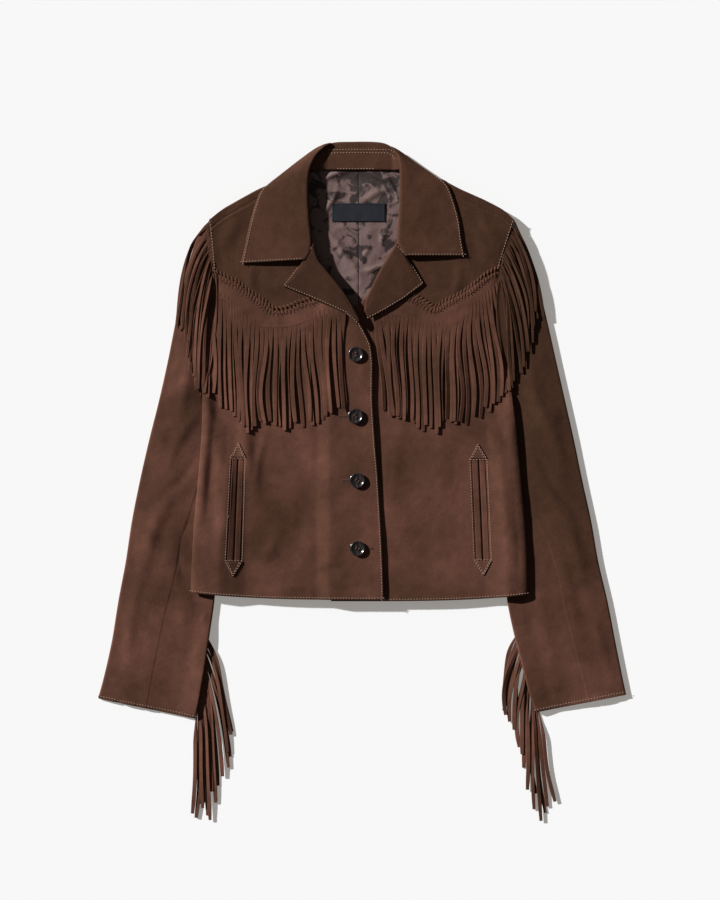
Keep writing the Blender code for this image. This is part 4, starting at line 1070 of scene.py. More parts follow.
def horn_material(name, colour):
    """Polished dark horn with a faint streak."""
    made_new, tree, shader, where = new_material(name)
    streak = tree.nodes.new("ShaderNodeTexWave")
    streak.inputs["Scale"].default_value = 60.0
    streak.inputs["Distortion"].default_value = 6.0
    streak.inputs["Detail"].default_value = 3.0
    tree.links.new(where, streak.inputs["Vector"])
    brown = (colour[0] * 3.2 + 0.012, colour[1] * 2.6 + 0.006, colour[2] * 2.2 + 0.004)
    base = blend(tree, spread(tree, streak.outputs["Fac"], 0.45, 1.3), colour, brown)
    tree.links.new(base, shader.inputs["Base Color"])
    shader.inputs["Roughness"].default_value = 0.24
    shader.inputs["Specular IOR Level"].default_value = 0.45
    shader.inputs["Coat Weight"].default_value = 0.2
    shader.inputs["Coat Roughness"].default_value = 0.12
    scratches = noise(tree, where, 0.0015)
    bump(tree, shader, scratches, streak.outputs["Fac"], 0.4, 0.00008, 0.3)
    return made_new


def suede(context, name="brushed_suede"):
    colours = context.scene.jacket_colours
    bright, shade_share, low, high = SUEDE_SHADES[name]
    lit = [value * bright for value in colours.suede]
    shade = [value * bright for value in colours.suede_dark]
    return suede_material(name, lit, shade, shade_share, low, high)


def thread(context):
    return thread_material("topstitch_thread", list(context.scene.jacket_colours.thread))


def own_thread(context):
    """Thread in the colour of the suede, for lacing, seams and buttonholes."""
    return thread_material("brown_thread", [value * 1.2 for value in context.scene.jacket_colours.suede])


# Body


def hem_shift(x, y, bottom_y):
    """How far the hem's ends rise, fading out above it."""
    share = np.clip(y / bottom_y, 0.0, 1.0) * (y < 0.0)
    return HEM_RISE * np.minimum(np.abs(x) / HEM_HALF_WIDTH, 1.0) ** 3 * share * share


def pocket_hollow(x, y):
    """How far the fronts sink at the pockets' slots, so that the lips lie flush."""
    total = np.zeros_like(x)
    for pocket in POCKETS.values():
        share = (pocket.top_y - y) / (pocket.top_y - pocket.bottom_y)
        centre = mix(pocket.top_x, pocket.bottom_x, share)
        half = mix(pocket.half_top, pocket.half_bottom, share) * 0.74
        inside = 1.0 - ramp(half - 0.4, half + 1.6, np.abs(x - centre))
        total += inside * ramp(-0.01, 0.01, share) * (1.0 - ramp(0.99, 1.01, share))
    return POCKET_HOLLOW * total


def hem_lift(x, y):
    """How far the fronts' hem stands off, most of all near the middle."""
    return HEM_LIFT * ramp(-98.0, -150.0, y) * (1.0 - ramp(0.42, 0.98, np.abs(x) / HEM_HALF_WIDTH))


def panel(name, node, step, wall, surface, table, seed, roll=(0.0, 0.0)):
    """A body panel on its CAD solid's form, with folds that die out at its seams."""
    left, right = cad_span(node)
    points = np.array([vertex.co for vertex in frame["nodes"][node].data.vertices]) / MM
    top_y = points[:, 1].max()
    middle_x = (points[:, 0].max() + points[:, 0].min()) / 2.0
    bottom_y = points[np.argmin(np.abs(points[:, 0] - middle_x) + 4.0 * (points[:, 1] - points[:, 1].min())), 1]

    def steady(edge):
        return lambda y: edge(np.maximum(y, bottom_y + 14.0))

    x, y = panel_grid(steady(left), steady(right), top_y, bottom_y, step, wall, hem_shift)
    top = soften(heights(cad_tree(node), x, y), 3)
    flat = np.dstack([x, y, top])
    fade = ramp(2.0, 16.0, edge_distance(flat))
    relief = 1.7 * creased(table, x, y) + 0.6 * ripple(x, y, 46.0, seed) + 0.16 * ripple(x, y, 17.0, seed + 1)
    for edge, drop in zip((x - x[:, :1], x[:, -1:] - x), roll):
        top = top - drop * np.maximum(1.0 - edge / SIDE_ROLL, 0.0) ** 2
    if table:
        top = top + hem_lift(x, y) - pocket_hollow(x, y)
    lowest = 0.3 + wall / 2.0
    middle = np.dstack([x, y, np.maximum(top - wall / 2.0 + relief * fade, lowest)])
    return cloth(name, middle, wall, surface, (node,))


class JACKET_OT_body(bpy.types.Operator):
    """Make the back and the two fronts"""

    bl_idname = "jacket.body"
    bl_label = "Body"

    def execute(self, context):
        surface = suede(context)
        panel("back", "back_panel", 5.0, PANEL_WALL, surface, [], 11)
        panel("front_lower", "front_right", 2.0, PANEL_WALL, surface, FRONT_CREASES, 21, (0.0, 2.0))
        panel(
            "front_upper", "front_left", 2.0, PANEL_WALL, surface, FRONT_CREASES, 31,
            (2.0, 0.0),
        )
        return {"FINISHED"}


# Sleeves


def sleeve_columns(width, seam):
    """Distances from the outer fold, close together at both folds and at the front seam."""
    near = np.array([0.0, 0.15, 0.45, 0.9, 1.5, 2.3])
    before = np.linspace(near[-1], seam - 4.0, 30)
    fine = seam + np.array([-3.0, -2.2, -1.6, -1.1, -0.7, -0.35, 0.0, 0.35, 0.7, 1.1, 1.6, 2.2, 3.0])
    after = np.linspace(seam + 4.0, width - near[-1], 26)
    return np.concatenate([near[:-1], before, fine, after, (width - near[:-1])[::-1]])


def sleeve_grids(side):
    """Upper and lower points of a sleeve, section by section from the armhole."""
    nodes = (f"sleeve_top_{side}", f"sleeve_under_{side}")
    rows = smooth_rows(SLEEVE_ROWS[side], 150)
    plan = []
    steps = []
    for outer_x, outer_y, inner_x, inner_y, bow, seam in rows:
        width = math.hypot(inner_x - outer_x, inner_y - outer_y)
        distance = sleeve_columns(width, min(seam * width, width - 7.0))
        share = distance / width
        x = mix(outer_x, inner_x, share) + bow * 4.0 * share * (1.0 - share)
        plan.append(np.column_stack([x, mix(outer_y, inner_y, share)]))
        steps.append(np.column_stack([distance, distance - min(seam * width, width - 7.0), width - distance]))
    plan = np.array(plan)
    steps = np.array(steps)
    x = plan[..., 0]
    y = plan[..., 1]
    tree = cad_tree(*nodes)
    top = heights(tree, x, y)
    low = heights(tree, x, y, upward=True)
    edge = np.minimum(steps[..., 0], steps[..., 2])
    for values in (top, low):
        for row, near in zip(values, edge):
            inside = np.flatnonzero(near > 4.2)
            row[:] = np.interp(np.arange(len(row)), inside, row[inside])
    top = soften(top, 4)
    low = np.maximum(soften(low, 4), 0.0)
    down = np.minimum(np.arange(150)[:, None] * 4.2, (149 - np.arange(150))[:, None] * 4.2 + 2.0)
    fade = ramp(3.0, 26.0, edge) * ramp(0.0, 30.0, down)
    covered = ramp(SIDES[side] * 190.0 - 14.0, SIDES[side] * 190.0 + 14.0, x)
    shown = covered if side == "right" else 1.0 - covered
    relief = 1.4 * creased(SLEEVE_CREASES, x, y) + 0.7 * ripple(x, y, 40.0, 41) + 0.2 * ripple(x, y, 15.0, 42)
    top = top + relief * fade * np.maximum(shown, ramp(-120.0, -160.0, y))
    below = steps[..., 1]
    for row, near in zip(top, below):
        clear = np.flatnonzero(np.abs(near) > 3.6)
        row[:] = np.interp(np.arange(len(row)), clear, row[clear])
    top += (0.10 * np.exp(-((below / 0.9) ** 2)) - 0.16 * ramp(0.2, 3.0, below)) * ramp(0.0, 6.0, edge)
    half = np.maximum((top - low) / 2.0, SLEEVE_WALL + 0.35)
    centre = np.maximum((top + low) / 2.0, half)
    return x, y, centre, half, edge


def section_loops(x, y, centre, half, edge, wall):
    """A closed loop of points for each section, inset by wall."""
    reach = np.maximum(half, 0.1)
    grow = np.sqrt(np.maximum(1.0 - (1.0 - np.minimum(edge / reach, 1.0)) ** 2, 0.0))
    height = np.maximum(half * grow - wall, 0.0)
    inward = np.stack([x, y], axis=-1)
    first = inward[:, :1]
    last = inward[:, -1:]
    across = (last - first) / np.linalg.norm(last - first, axis=2, keepdims=True)
    push = wall * (1.0 - ramp(0.0, 2.5, edge))[..., None]
    side = np.where(np.arange(x.shape[1]) < x.shape[1] // 2, 1.0, -1.0)[None, :, None]
    plan = inward + across * push * side
    upper = np.dstack([plan, centre + height])
    lower = np.dstack([plan, centre - height])[:, 1:-1][:, ::-1]
    return np.concatenate([upper, lower], axis=1)


def ring_quads(index):
    """The faces of rows of closed rings."""
    return quads(np.hstack([index, index[:, :1]]))


def make_sleeve(side, surface):
    x, y, centre, half, edge = sleeve_grids(side)
    outer = section_loops(x, y, centre, half, edge, 0.0)
    inner = section_loops(x, y, centre, half, edge, SLEEVE_WALL)
    rows, columns = outer.shape[:2]
    outer_index = np.arange(rows * columns).reshape(rows, columns)
    inner_index = outer_index + rows * columns
    # A rounded rim between the two walls at the cuff; at the armhole the walls are joined straight
    rim = (outer + inner) / 2.0
    direction = rim[-1] - rim[-2]
    direction /= np.linalg.norm(direction, axis=1, keepdims=True)
    cuff = rim[-1] + direction * SLEEVE_WALL * 0.4
    rim_index = np.arange(columns) + 2 * rows * columns
    points = np.concatenate([outer.reshape(-1, 3), inner.reshape(-1, 3), cuff])
    faces = np.concatenate([
        ring_quads(outer_index),
        ring_quads(inner_index)[:, ::-1],
        ring_quads(np.stack([outer_index[-1], rim_index])),
        ring_quads(np.stack([rim_index, inner_index[-1]])),
        ring_quads(np.stack([outer_index[0], inner_index[0]]))[:, ::-1],
    ])
    name = f"sleeve_{side}"
    thing = piece(name, points, faces.tolist(), surface)
    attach(thing, BODY)
    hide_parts(f"sleeve_top_{side}", f"sleeve_under_{side}")
    skin = outer.shape[1] // 2 + 1
    area = 2.0 * grid_area(outer[:, :skin])
    middle = np.dstack([x, y, centre + half - SLEEVE_WALL / 2.0])
    made[name] = {
        "object": thing, "middle": middle, "normals": normals_of(middle), "half": SLEEVE_WALL / 2.0,
    }


class JACKET_OT_sleeves(bpy.types.Operator):
    """Make the two sleeves"""

    bl_idname = "jacket.sleeves"
    bl_label = "Sleeves"

    def execute(self, context):
        for side in SIDES:
            # The right sleeve's suede darkens towards its top: painted shade
            make_sleeve(side, suede(context, "brushed_suede" if side == "left" else "brushed_suede_sleeve_right"))
        return {"FINISHED"}


# Yokes and pockets


def blanket(grid_x, grid_y, carriers, gap, wall, smooth=6):
    """Middle points of a piece that lies on its carriers."""
    under = heights(tree_of([made[name]["object"] for name in carriers]), grid_x, grid_y)
    return np.dstack([grid_x, grid_y, soften(under, smooth) + gap + wall / 2.0])


class JACKET_OT_yokes(bpy.types.Operator):
    """Make the two western yokes over the fronts"""

    bl_idname = "jacket.yokes"
    bl_label = "Yokes"

    def execute(self, context):
        surface = suede(context, "brushed_suede_yoke")
        for side, front in (("left", "front_upper"), ("right", "front_lower")):
            rows = smooth_rows(YOKE_ROWS[side], 90)
            start = rows[:, :2]
            end = rows[:, 2:]
            longest = np.linalg.norm(end - start, axis=1).max()
            share = across_steps(longest, 2.4, YOKE_WALL) / longest
            plan = start[:, None] + (end - start)[:, None] * share[None, :, None]
            x = plan[..., 0]
            y = plan[..., 1]
            top = soften(heights(cad_tree(f"yoke_{side}"), x, y), 8)
            flat = np.dstack([x, y, top])
            fade = ramp(0.0, 9.0, edge_distance(flat))
            relief = 1.4 * creased(YOKE_CREASES, x, y) + 0.5 * ripple(x, y, 30.0, 51) + 0.14 * ripple(x, y, 12.0, 52)
            # The shoulder seam runs a little inside the shoulder's edge
            inside = share[None, :] * np.linalg.norm(end - start, axis=1)[:, None]
            seam = -0.8 * np.exp(-(((inside - SHOULDER_SEAM) / 0.9) ** 2))
            seam = seam + 0.35 * np.exp(-(((inside - SHOULDER_SEAM - 2.6) / 1.6) ** 2))
            middle = np.dstack([x, y, top - YOKE_WALL / 2.0 + relief * fade + seam])
            cloth(f"yoke_cloth_{side}", middle, YOKE_WALL, surface, (f"yoke_{side}",))
            thin = range(0, len(rows), 2)
            made[f"yoke_cloth_{side}"]["seam_path"] = [
                middle[row, np.argmin(abs(inside[row] - SHOULDER_SEAM))] + [0.0, 0.0, YOKE_WALL / 2.0] for row in thin
            ]
        return {"FINISHED"}


class JACKET_OT_pockets(bpy.types.Operator):
    """Make the lips and arrow tabs of the two pockets"""

    bl_idname = "jacket.pockets"
    bl_label = "Pockets"

    def execute(self, context):
        surface = suede(context, "brushed_suede_pocket")
        for side, front in (("left", "front_upper"), ("right", "front_lower")):
            pocket = POCKETS[side]
            for number, sign in ((1, -1.0), (2, 1.0)):
                down = across_steps(1.0, 1.0 / 44.0, 0.012)
                x = mix(pocket.top_x, pocket.bottom_x, down)
                y = mix(pocket.top_y, pocket.bottom_y, down)
                half = mix(pocket.half_top, pocket.half_bottom, down)
                half = half * 0.74
                width = half.max() - POCKET_SLIT
                share = across_steps(width, 1.0, STRIP_WALL) / width
                over = POCKET_SLIT + (half[:, None] - POCKET_SLIT) * share[None, :]
                grid_x = x[:, None] + sign * over
                grid_y = np.repeat(y[:, None], grid_x.shape[1], axis=1)
                middle = blanket(grid_x, grid_y, (front,), 0.1, STRIP_WALL)
                # Each lip is a roll that falls off to the slit and to its stitched edge
                middle[..., 2] += 0.2 * np.sin(math.pi * np.clip(share, 0.0, 1.0)) ** 0.8
                middle[..., 2] += 0.12 * ripple(grid_x, grid_y, 14.0, 60 + number) * np.sin(math.pi * share)
                name = f"pocket_lip_{side}_{number}"
                cloth(name, middle, STRIP_WALL, surface, (f"pocket_{side}_lip_{number}",))
            lean = (pocket.top_x - pocket.bottom_x) / (pocket.top_y - pocket.bottom_y)
            ends = (
                ("top", pocket.top_x, pocket.top_y, pocket.half_top, 1.0),
                ("bottom", pocket.bottom_x, pocket.bottom_y, pocket.half_bottom, -1.0),
            )
            for end, x, y, half, up in ends:
                reach = 0.8 + across_steps(POCKET_TAB_LENGTH, 1.2, STRIP_WALL)
                width = mix(half, 0.9, (reach - 0.8) / POCKET_TAB_LENGTH)
                share = across_steps(2.0 * half, 1.2, STRIP_WALL) / half - 1.0
                grid_x = (x + up * reach * lean)[:, None] + width[:, None] * share[None, :]
                grid_y = np.repeat((y + up * reach)[:, None], grid_x.shape[1], axis=1)
                middle = blanket(grid_x, grid_y, (front,), 0.08, TAB_WALL)
                name = f"pocket_tab_{side}_{end}"
                cloth(name, middle, TAB_WALL, surface, (f"pocket_{side}_tab_{end}",))
        return {"FINISHED"}


# Collar, lapels and band


def leaf_paths(rows, wall, radius):
    """The middle line of each section: under, round the roll and down to the outer edge."""
    grid = []
    for row in rows:
        width = math.hypot(row[2] - row[0], row[3] - row[1])
        half = wall / 2.0
        top = row[4] - half
        turn = half + radius
        under = max(row[6], turn + 1.0)
        path = [(mix(under, turn, s), top - 2.0 * radius) for s in np.linspace(0.0, 1.0, 8)[:-1]]
        for angle in np.linspace(0.0, math.pi, 11)[:-1]:
            path.append((turn - radius * math.sin(angle), top - radius * (1.0 + math.cos(angle))))
        for s in across_steps(1.0, 1.0 / 30.0, 0.03)[5:] if width > 6.0 else np.linspace(0.0, 1.0, 35):
            drop = (top - row[5] + half) * s**1.4
            path.append((mix(turn, width, s), top - drop))
        grid.append([
            (mix(row[0], row[2], d / width), mix(row[1], row[3], d / width), z) for d, z in path
        ])
    return grid


def resampled(path, count):
    """A path as a number of points at even lengths."""
    path = np.array(path)
    along = np.concatenate([[0.0], np.linalg.norm(np.diff(path, axis=0), axis=1).cumsum()])
    stops = np.linspace(0.0, along[-1], count)
    return np.column_stack([np.interp(stops, along, path[:, axis]) for axis in range(3)])


def leaf(name, node, table, count, wall, radius, surface, seed, straight=False):
    """A leaf that turns back under itself at the roll."""
    rows = smooth_rows(table, count)
    if straight:
        stops = np.linspace(0.0, len(table) - 1.0, count)
        for column in (2, 3):
            rows[:, column] = np.interp(stops, np.arange(len(table)), [row[column] for row in table])
    middle = np.array([resampled(path, 54) for path in leaf_paths(rows, wall, radius)])
    ends = np.minimum(np.arange(count), np.arange(count)[::-1])[:, None] * 2.0
    fade = ramp(0.0, 8.0, ends) * np.concatenate([np.zeros(16), ramp(0.0, 8.0, np.arange(38.0))])[None, :]
    fade = fade * ramp(0.0, 5.0, edge_distance(middle))
    relief = 0.7 * ripple(middle[..., 0], middle[..., 1], 34.0, seed)
    relief = relief + 0.3 * ripple(middle[..., 0], middle[..., 1], 13.0, seed + 1)
    middle[..., 2] += relief * fade
    return cloth(name, middle, wall, surface, (node,))


class JACKET_OT_collar(bpy.types.Operator):
    """Make the collar's band and leaves, and the lapels"""

    bl_idname = "jacket.collar"
    bl_label = "Collar"

    def execute(self, context):
        surface = suede(context, "brushed_suede_collar")
        for side, front in (("left", "front_upper"), ("right", "front_lower")):
            leaf(
                f"collar_cloth_{side}", f"collar_leaf_{side}", LEAF_ROWS[side], 90, COLLAR_WALL, 1.7,
                surface, 71,
            )
            leaf(
                f"lapel_cloth_{side}", f"lapel_{side}", LAPEL_ROWS[side], 71, LAPEL_WALL, 1.3,
                suede(context, f"brushed_suede_lapel_{side}"), 73, True,
            )
        half = COLLAR_WALL / 2.0
        radius = 1.5
        grid = []
        for seam_x, seam_y, fold_x, fold_y in smooth_rows(BAND_ROWS, 80):
            width = math.hypot(fold_x - seam_x, fold_y - seam_y)
            turn = half + radius
            front_end = max(width, turn + 1.0)
            path = []
            # The two ends rise to the leaves
            lift = 5.0 * max(ramp(-42.0, -62.0, fold_x), ramp(36.0, 48.0, fold_x))
            for s in np.linspace(0.0, 1.0, 22)[:-1]:
                rise = 1.9 * (1.0 - s * s) + lift * (1.0 - s**6)
                path.append((mix(turn, front_end, 1.0 - s), half + 2.0 * radius + rise))
            for angle in np.linspace(0.0, math.pi, 9)[:-1]:
                path.append((turn - radius * math.sin(angle), half + radius * (1.0 + math.cos(angle))))
            behind = max(width - 8.0, turn + 0.8)
            for s in np.linspace(0.0, 1.0, 10):
                path.append((mix(turn, behind, s), half))
            grid.append([
                (mix(fold_x, seam_x, d / width), mix(fold_y, seam_y, d / width), z) for d, z in path
            ])
        middle = np.array([resampled(path, 44) for path in grid])
        wave = 0.25 * ripple(middle[..., 0], middle[..., 1], 18.0, 77)
        middle[..., 2] += wave * ramp(1.0, 6.0, edge_distance(middle)) * (middle[..., 2] > half + radius)
        surface = suede(context, "brushed_suede_stand")
        cloth("collar_stand", middle, COLLAR_WALL, surface, ("collar_back",))
        return {"FINISHED"}


# Lining


class JACKET_OT_lining(bpy.types.Operator):
    """Make the satin lining at the neck, and its blank label"""

    bl_idname = "jacket.lining"
    bl_label = "Lining and label"

    def execute(self, context):
        colours = context.scene.jacket_colours
        left, right = cad_span("back_lining")
        points = np.array([vertex.co for vertex in frame["nodes"]["back_lining"].data.vertices]) / MM
        top_y = points[:, 1].max()
        bottom_y = points[:, 1].min()
        level = top_y - across_steps(top_y - bottom_y, 1.5, LINING_WALL)
        steady = np.clip(level, bottom_y + 0.3, top_y - 0.3)
        first = left(steady)
        last = right(steady)
        width = (last - first).max()
        share = across_steps(width, 1.5, LINING_WALL) / width
        x = first[:, None] + (last - first)[:, None] * share[None, :]
        y = np.repeat(level[:, None], x.shape[1], axis=1)
        top = soften(heights(cad_tree("back_lining"), x, y), 6)
        fade = ramp(0.5, 8.0, edge_distance(np.dstack([x, y, top])))
        under_label = ramp(LABEL_BOX[0] - 5.0, LABEL_BOX[0] + 3.0, x)
        under_label = under_label * (1.0 - ramp(LABEL_BOX[2] - 3.0, LABEL_BOX[2] + 5.0, x))
        under_label = under_label * ramp(LABEL_BOX[1] - 5.0, LABEL_BOX[1] + 3.0, y)
        under_label = under_label * (1.0 - ramp(LABEL_BOX[3] - 3.0, LABEL_BOX[3] + 5.0, y))
        relief = creased(LINING_CREASES, x, y) + 0.5 * ripple(x, y, 24.0, 81) + 0.35 * ripple(x, y, 10.0, 82)
        relief = relief * (1.0 - 0.9 * under_label)
        seam = -0.5 * np.exp(-(((x - LINING_SEAM_X) / 1.0) ** 2))
        seam = seam * (1.0 - under_label)
        middle = np.dstack([x, y, top - LINING_WALL / 2.0 + relief * fade + seam * fade])
        satin = lining_material("satin_lining", list(colours.lining))
        cloth("lining", middle, LINING_WALL, satin, ("back_lining",))

        # The seam's stitches are near black: painted shade of the seam's groove
        dark = thread_material("lining_thread", [value * 0.07 for value in colours.lining])
        seam_rows = [
            on_surface(carried(("lining",)), [(LINING_SEAM_X, low), (LINING_SEAM_X, high)], 0.0)
            for low, high in ((184.0, LABEL_BOX[1] - 0.5), (LABEL_BOX[3] + 0.5, 393.0))
        ]
        sewn("lining_seam", seam_rows, dark, "lining", 0.0016, 0.0022, 0.0014, 0.0005, seed=85)

        low_x, low_y, high_x, high_y = LABEL_BOX
        over = across_steps(high_x - low_x, 1.5, LABEL_WALL) + low_x
        down = high_y - across_steps(high_y - low_y, 1.5, LABEL_WALL)
        grid_x, grid_y = np.meshgrid(over, down)
        middle = blanket(grid_x, grid_y, ("lining",), 0.45, LABEL_WALL)
        middle[..., 2] += 0.18 * ripple(grid_x, grid_y, 9.0, 83) * ramp(0.5, 4.0, edge_distance(middle))
        woven = label_material("woven_label", list(colours.label))
        cloth("label", middle, LABEL_WALL, woven, ("neck_label",))
        row = [edge_run("label", side, 1.1, 0.1) for side in ("start", "end", "left", "right")]
        dark = thread_material("label_thread", [value * 2.5 for value in colours.label])
        sewn("label_stitches", row, dark, "label", 0.0022, 0.0017, 0.0006, 0.0005, seed=84)
        return {"FINISHED"}


# Fringe and lacing


def yoke_line(side):
    """The laced edge of a yoke as plan points from left to right."""
    line = smooth_rows(YOKE_ROWS[side], 61)[:, 2:]
    return line[np.argsort(line[:, 0])]


def carried(names):
    return tree_of([made[name]["object"] for name in names])


def laid_height(tree, x, y, gap, floor):
    """Height of something that lies on a tree of faces, or near the floor where there is none."""
    values = []
    for px, py in zip(x, y):
        hit = tree.ray_cast(Vector((px, py, RAY_HEIGHT)), DOWN)[0]
        values.append(floor if hit is None else hit.z + gap)
    values = np.array(values)
    kernel = np.array([1.0, 2.0, 3.0, 2.0, 1.0]) / 9.0
    eased = np.convolve(np.pad(values, 2, mode="edge"), kernel, mode="valid")
    return np.maximum(eased, values - 0.15)


def hang(paths, widths, tilts, name, surface, thickness, node=()):
    """Strands of suede along their paths, as one piece."""
    group = bpy.data.node_groups.get("Fringe strand") or strand_group()
    width = max(max(row) for row in widths)
    radii = [np.array(row) / width for row in widths]
    values = {
        "Width": width * MM, "Thickness": thickness, "Rounding": thickness * 0.42, "Surface": surface,
    }
    curve = curve_of(name + "_paths", paths, radii, tilts)
    thing = grown(name, curve, group, values)
    thing.data.shade_smooth()
    thing.data.set_sharp_from_angle(angle=math.radians(30.0))
    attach(thing, BODY)
    if node:
        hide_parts(*node)
    return thing


def front_fringe(context, side, front, seed):
    """An uncut band under the yoke's laced edge, and the strands below it."""
    sizes = context.scene.jacket_sizes
    surface = suede(context)
    count = sizes.front_strands
    rows = smooth_rows(FRONT_FRINGE_ROWS[side], 161)
    slit = rows[:, 2:4]
    tip = rows[:, 4:6]
    along = np.concatenate([[0.0], np.linalg.norm(np.diff(slit, axis=0), axis=1).cumsum()])
    share = along / along[-1]
    tree = carried((front,) if side == "right" else (front, "front_lower"))
    line = yoke_line(side)
    # The band, from just under the laced edge to the slits
    stops = np.linspace(0.0, 1.0, 130)
    band = []
    for s in stops:
        low = [np.interp(s, share, slit[:, 0]), np.interp(s, share, slit[:, 1])]
        high_x = np.interp(s, share, rows[:, 0])
        high_y = np.interp(high_x, line[:, 0], line[:, 1], left=np.nan, right=np.nan)
        if np.isnan(high_y):
            high_y = np.interp(s, share, rows[:, 1])
        band.append([(mix(high_x, low[0], t), mix(high_y + 2.0, low[1], t)) for t in np.linspace(-0.02, 1.0, 22)])
    band = np.array(band)
    x = band[..., 0]
    y = band[..., 1]
    under = soften(heights(tree, x, y), 10)
    middle = np.dstack([x, y, under + 0.3 + STRIP_WALL / 2.0])
    waves = 0.35 * ripple(x, y, 26.0, seed) + 0.2 * ripple(x, y, 9.0, seed + 1)
    middle[..., 2] += waves * ramp(0.5, 6.0, edge_distance(middle)) + 0.35
    cloth(f"fringe_band_{side}", middle, STRIP_WALL, surface, ())
    band_tree = carried((f"fringe_band_{side}",))
    draw = np.random.default_rng(seed)
    paths = []
    widths = []
    tilts = []
    steps = np.linspace(-0.07, 1.0, 30)
    inside = np.clip(steps, 0.0, 1.0)
    pitch = along[-1] / count
    drift = 0.0
    wave = 0.0
    for number in range(count):
        s = (number + 0.5) / count
        start = np.array([np.interp(s, share, slit[:, 0]), np.interp(s, share, slit[:, 1])])
        end = np.array([np.interp(s, share, tip[:, 0]), np.interp(s, share, tip[:, 1])])
        drift = 0.72 * drift + draw.normal(0.0, 1.9)
        end += [drift, draw.uniform(-7.0, 4.0)]
        sway = 0.5 * drift + draw.normal(0.0, 0.9)
        wave = 0.8 * wave + draw.normal(0.0, 0.9)
        x = mix(start[0], end[0], steps) + sway * np.sin(inside * math.pi)
        x += (0.75 * wave + draw.normal(0.0, 0.3)) * np.sin(inside * math.tau)
        y = mix(start[1], end[1], steps)
        layer = 0.2 + 1.0 * (number % 2) + 0.5 * draw.uniform(0.0, 1.0)
        z = laid_height(tree, x, y, 0.0, 3.0) + sizes.strand_thickness / MM / 2.0
        z += layer * ramp(0.0, 0.25, steps)
        flush = laid_height(band_tree, x[:2], y[:2], 0.0, z[0])[0] - sizes.strand_thickness / MM / 2.0 + 0.04
        z = mix(np.full(len(z), flush), z, ramp(0.0, 0.22, steps))
        paths.append(np.column_stack([x, y, z]))
        opening = draw.uniform(0.03, 0.16)
        wide = min(sizes.strand_width / MM * draw.uniform(0.9, 1.06), pitch * 1.04)
        widths.append(mix(pitch * 0.99, wide, ramp(0.0, opening, steps)) * (1.0 - 0.16 * ramp(0.93, 1.0, steps)))
        tilts.append((draw.normal(0.0, 0.20) + 0.12) * ramp(0.1, 0.6, steps))
    hang(
        paths, widths, tilts, f"fringe_strands_{side}", surface, sizes.strand_thickness,
        (f"fringe_front_{side}",),
    )


def fan_fringe(context, name, fan, count, carriers, seed, node, longest_shift, floor, surface, wide, spring=()):
    """Strands that spring from a seam, bend and hang down."""
    sizes = context.scene.jacket_sizes
    seam = carried(spring) if spring else None
    rows = smooth_rows(fan, count)
    tree = carried(carriers) if carriers else None
    draw = np.random.default_rng(seed)
    paths = []
    widths = []
    tilts = []
    steps = np.linspace(0.0, 1.0, 30)
    roots = rows[:, :2]
    along = np.gradient(roots, axis=0)
    pitch = np.linalg.norm(along, axis=1)
    for number, row in enumerate(rows):
        root = row[:2]
        bend = row[2:4] + draw.normal(0.0, 2.2, 2)
        end = row[4:6] + np.array([draw.normal(0.0, 2.4), draw.uniform(-longest_shift, longest_shift * 0.7)])
        away = (bend - root) / np.linalg.norm(bend - root)
        centre = (
            ((1 - steps) ** 2)[:, None] * (root - away * 4.6) + (2 * steps * (1 - steps))[:, None] * bend
            + (steps**2)[:, None] * end
        )
        centre[:, 0] += draw.normal(0.0, 1.3) * np.sin(steps * math.tau)
        start_width = min(pitch[number] * 0.70, 3.6)
        width = mix(start_width, sizes.strand_width / MM * wide * draw.uniform(0.9, 1.1), ramp(0.1, 0.4, steps))
        width = width * (1.0 - 0.2 * ramp(0.9, 1.0, steps))
        tilt = np.clip(draw.normal(0.0, 0.38), -0.6, 0.6) * np.sin(steps * math.pi)
        layer = 0.2 + 1.05 * (number % 3) * ramp(0.0, 0.14, steps) + 0.3 * ramp(0.0, 0.2, steps)
        if tree:
            z = laid_height(tree, centre[:, 0], centre[:, 1], 0.0, floor) + layer
        else:
            z = floor + 0.95 * (number % 3) * ramp(0.14, 0.4, steps)
        z = z + sizes.strand_thickness / MM / 2.0 + np.abs(np.sin(tilt)) * width / 2.0
        if seam:
            inner = root - away * 7.5
            rise = laid_height(seam, inner[:1], inner[1:], -1.3, z[0])[0]
            z = mix(np.full(len(z), max(rise, z[0])), z, ramp(0.0, 0.22, steps))
        paths.append(np.column_stack([centre, z]))
        widths.append(width)
        tilts.append(tilt)
    hang(
        paths, widths, tilts, name, surface, sizes.strand_thickness, node,
    )


class JACKET_OT_fringe(bpy.types.Operator):
    """Make the fringe of the fronts, the shoulders and the sleeves"""

    bl_idname = "jacket.fringe"
    bl_label = "Fringe"

    def execute(self, context):
        sizes = context.scene.jacket_sizes
        front_fringe(context, "left", "front_upper", 101)
        front_fringe(context, "right", "front_lower", 102)
        for seed, side in enumerate(SIDES):
            # The right fan's suede is darkened: painted shade
            shoulder_suede = suede(context, "brushed_suede" if side == "left" else "brushed_suede_fan_right")
            fan_fringe(
                context, f"shoulder_strands_{side}", SHOULDER_FANS[side], sizes.shoulder_strands,
                (f"sleeve_{side}",), 111 + seed, (f"fringe_shoulder_{side}",), 7.0, 1.0, shoulder_suede, 0.74,
                (f"yoke_cloth_{side}",),
            )
            fan_fringe(
                context, f"sleeve_strands_{side}", SLEEVE_FANS[side], sizes.sleeve_strands,
                (), 121 + seed, (f"fringe_sleeve_{side}",), 12.0, 0.25, suede(context), 0.94,
            )
        return {"FINISHED"}


def plan_path(points, count):
    """Plan points at even lengths along a line."""
    flat = np.column_stack([np.asarray(points, float), np.zeros(len(points))])
    return resampled(flat, count)[:, :2]


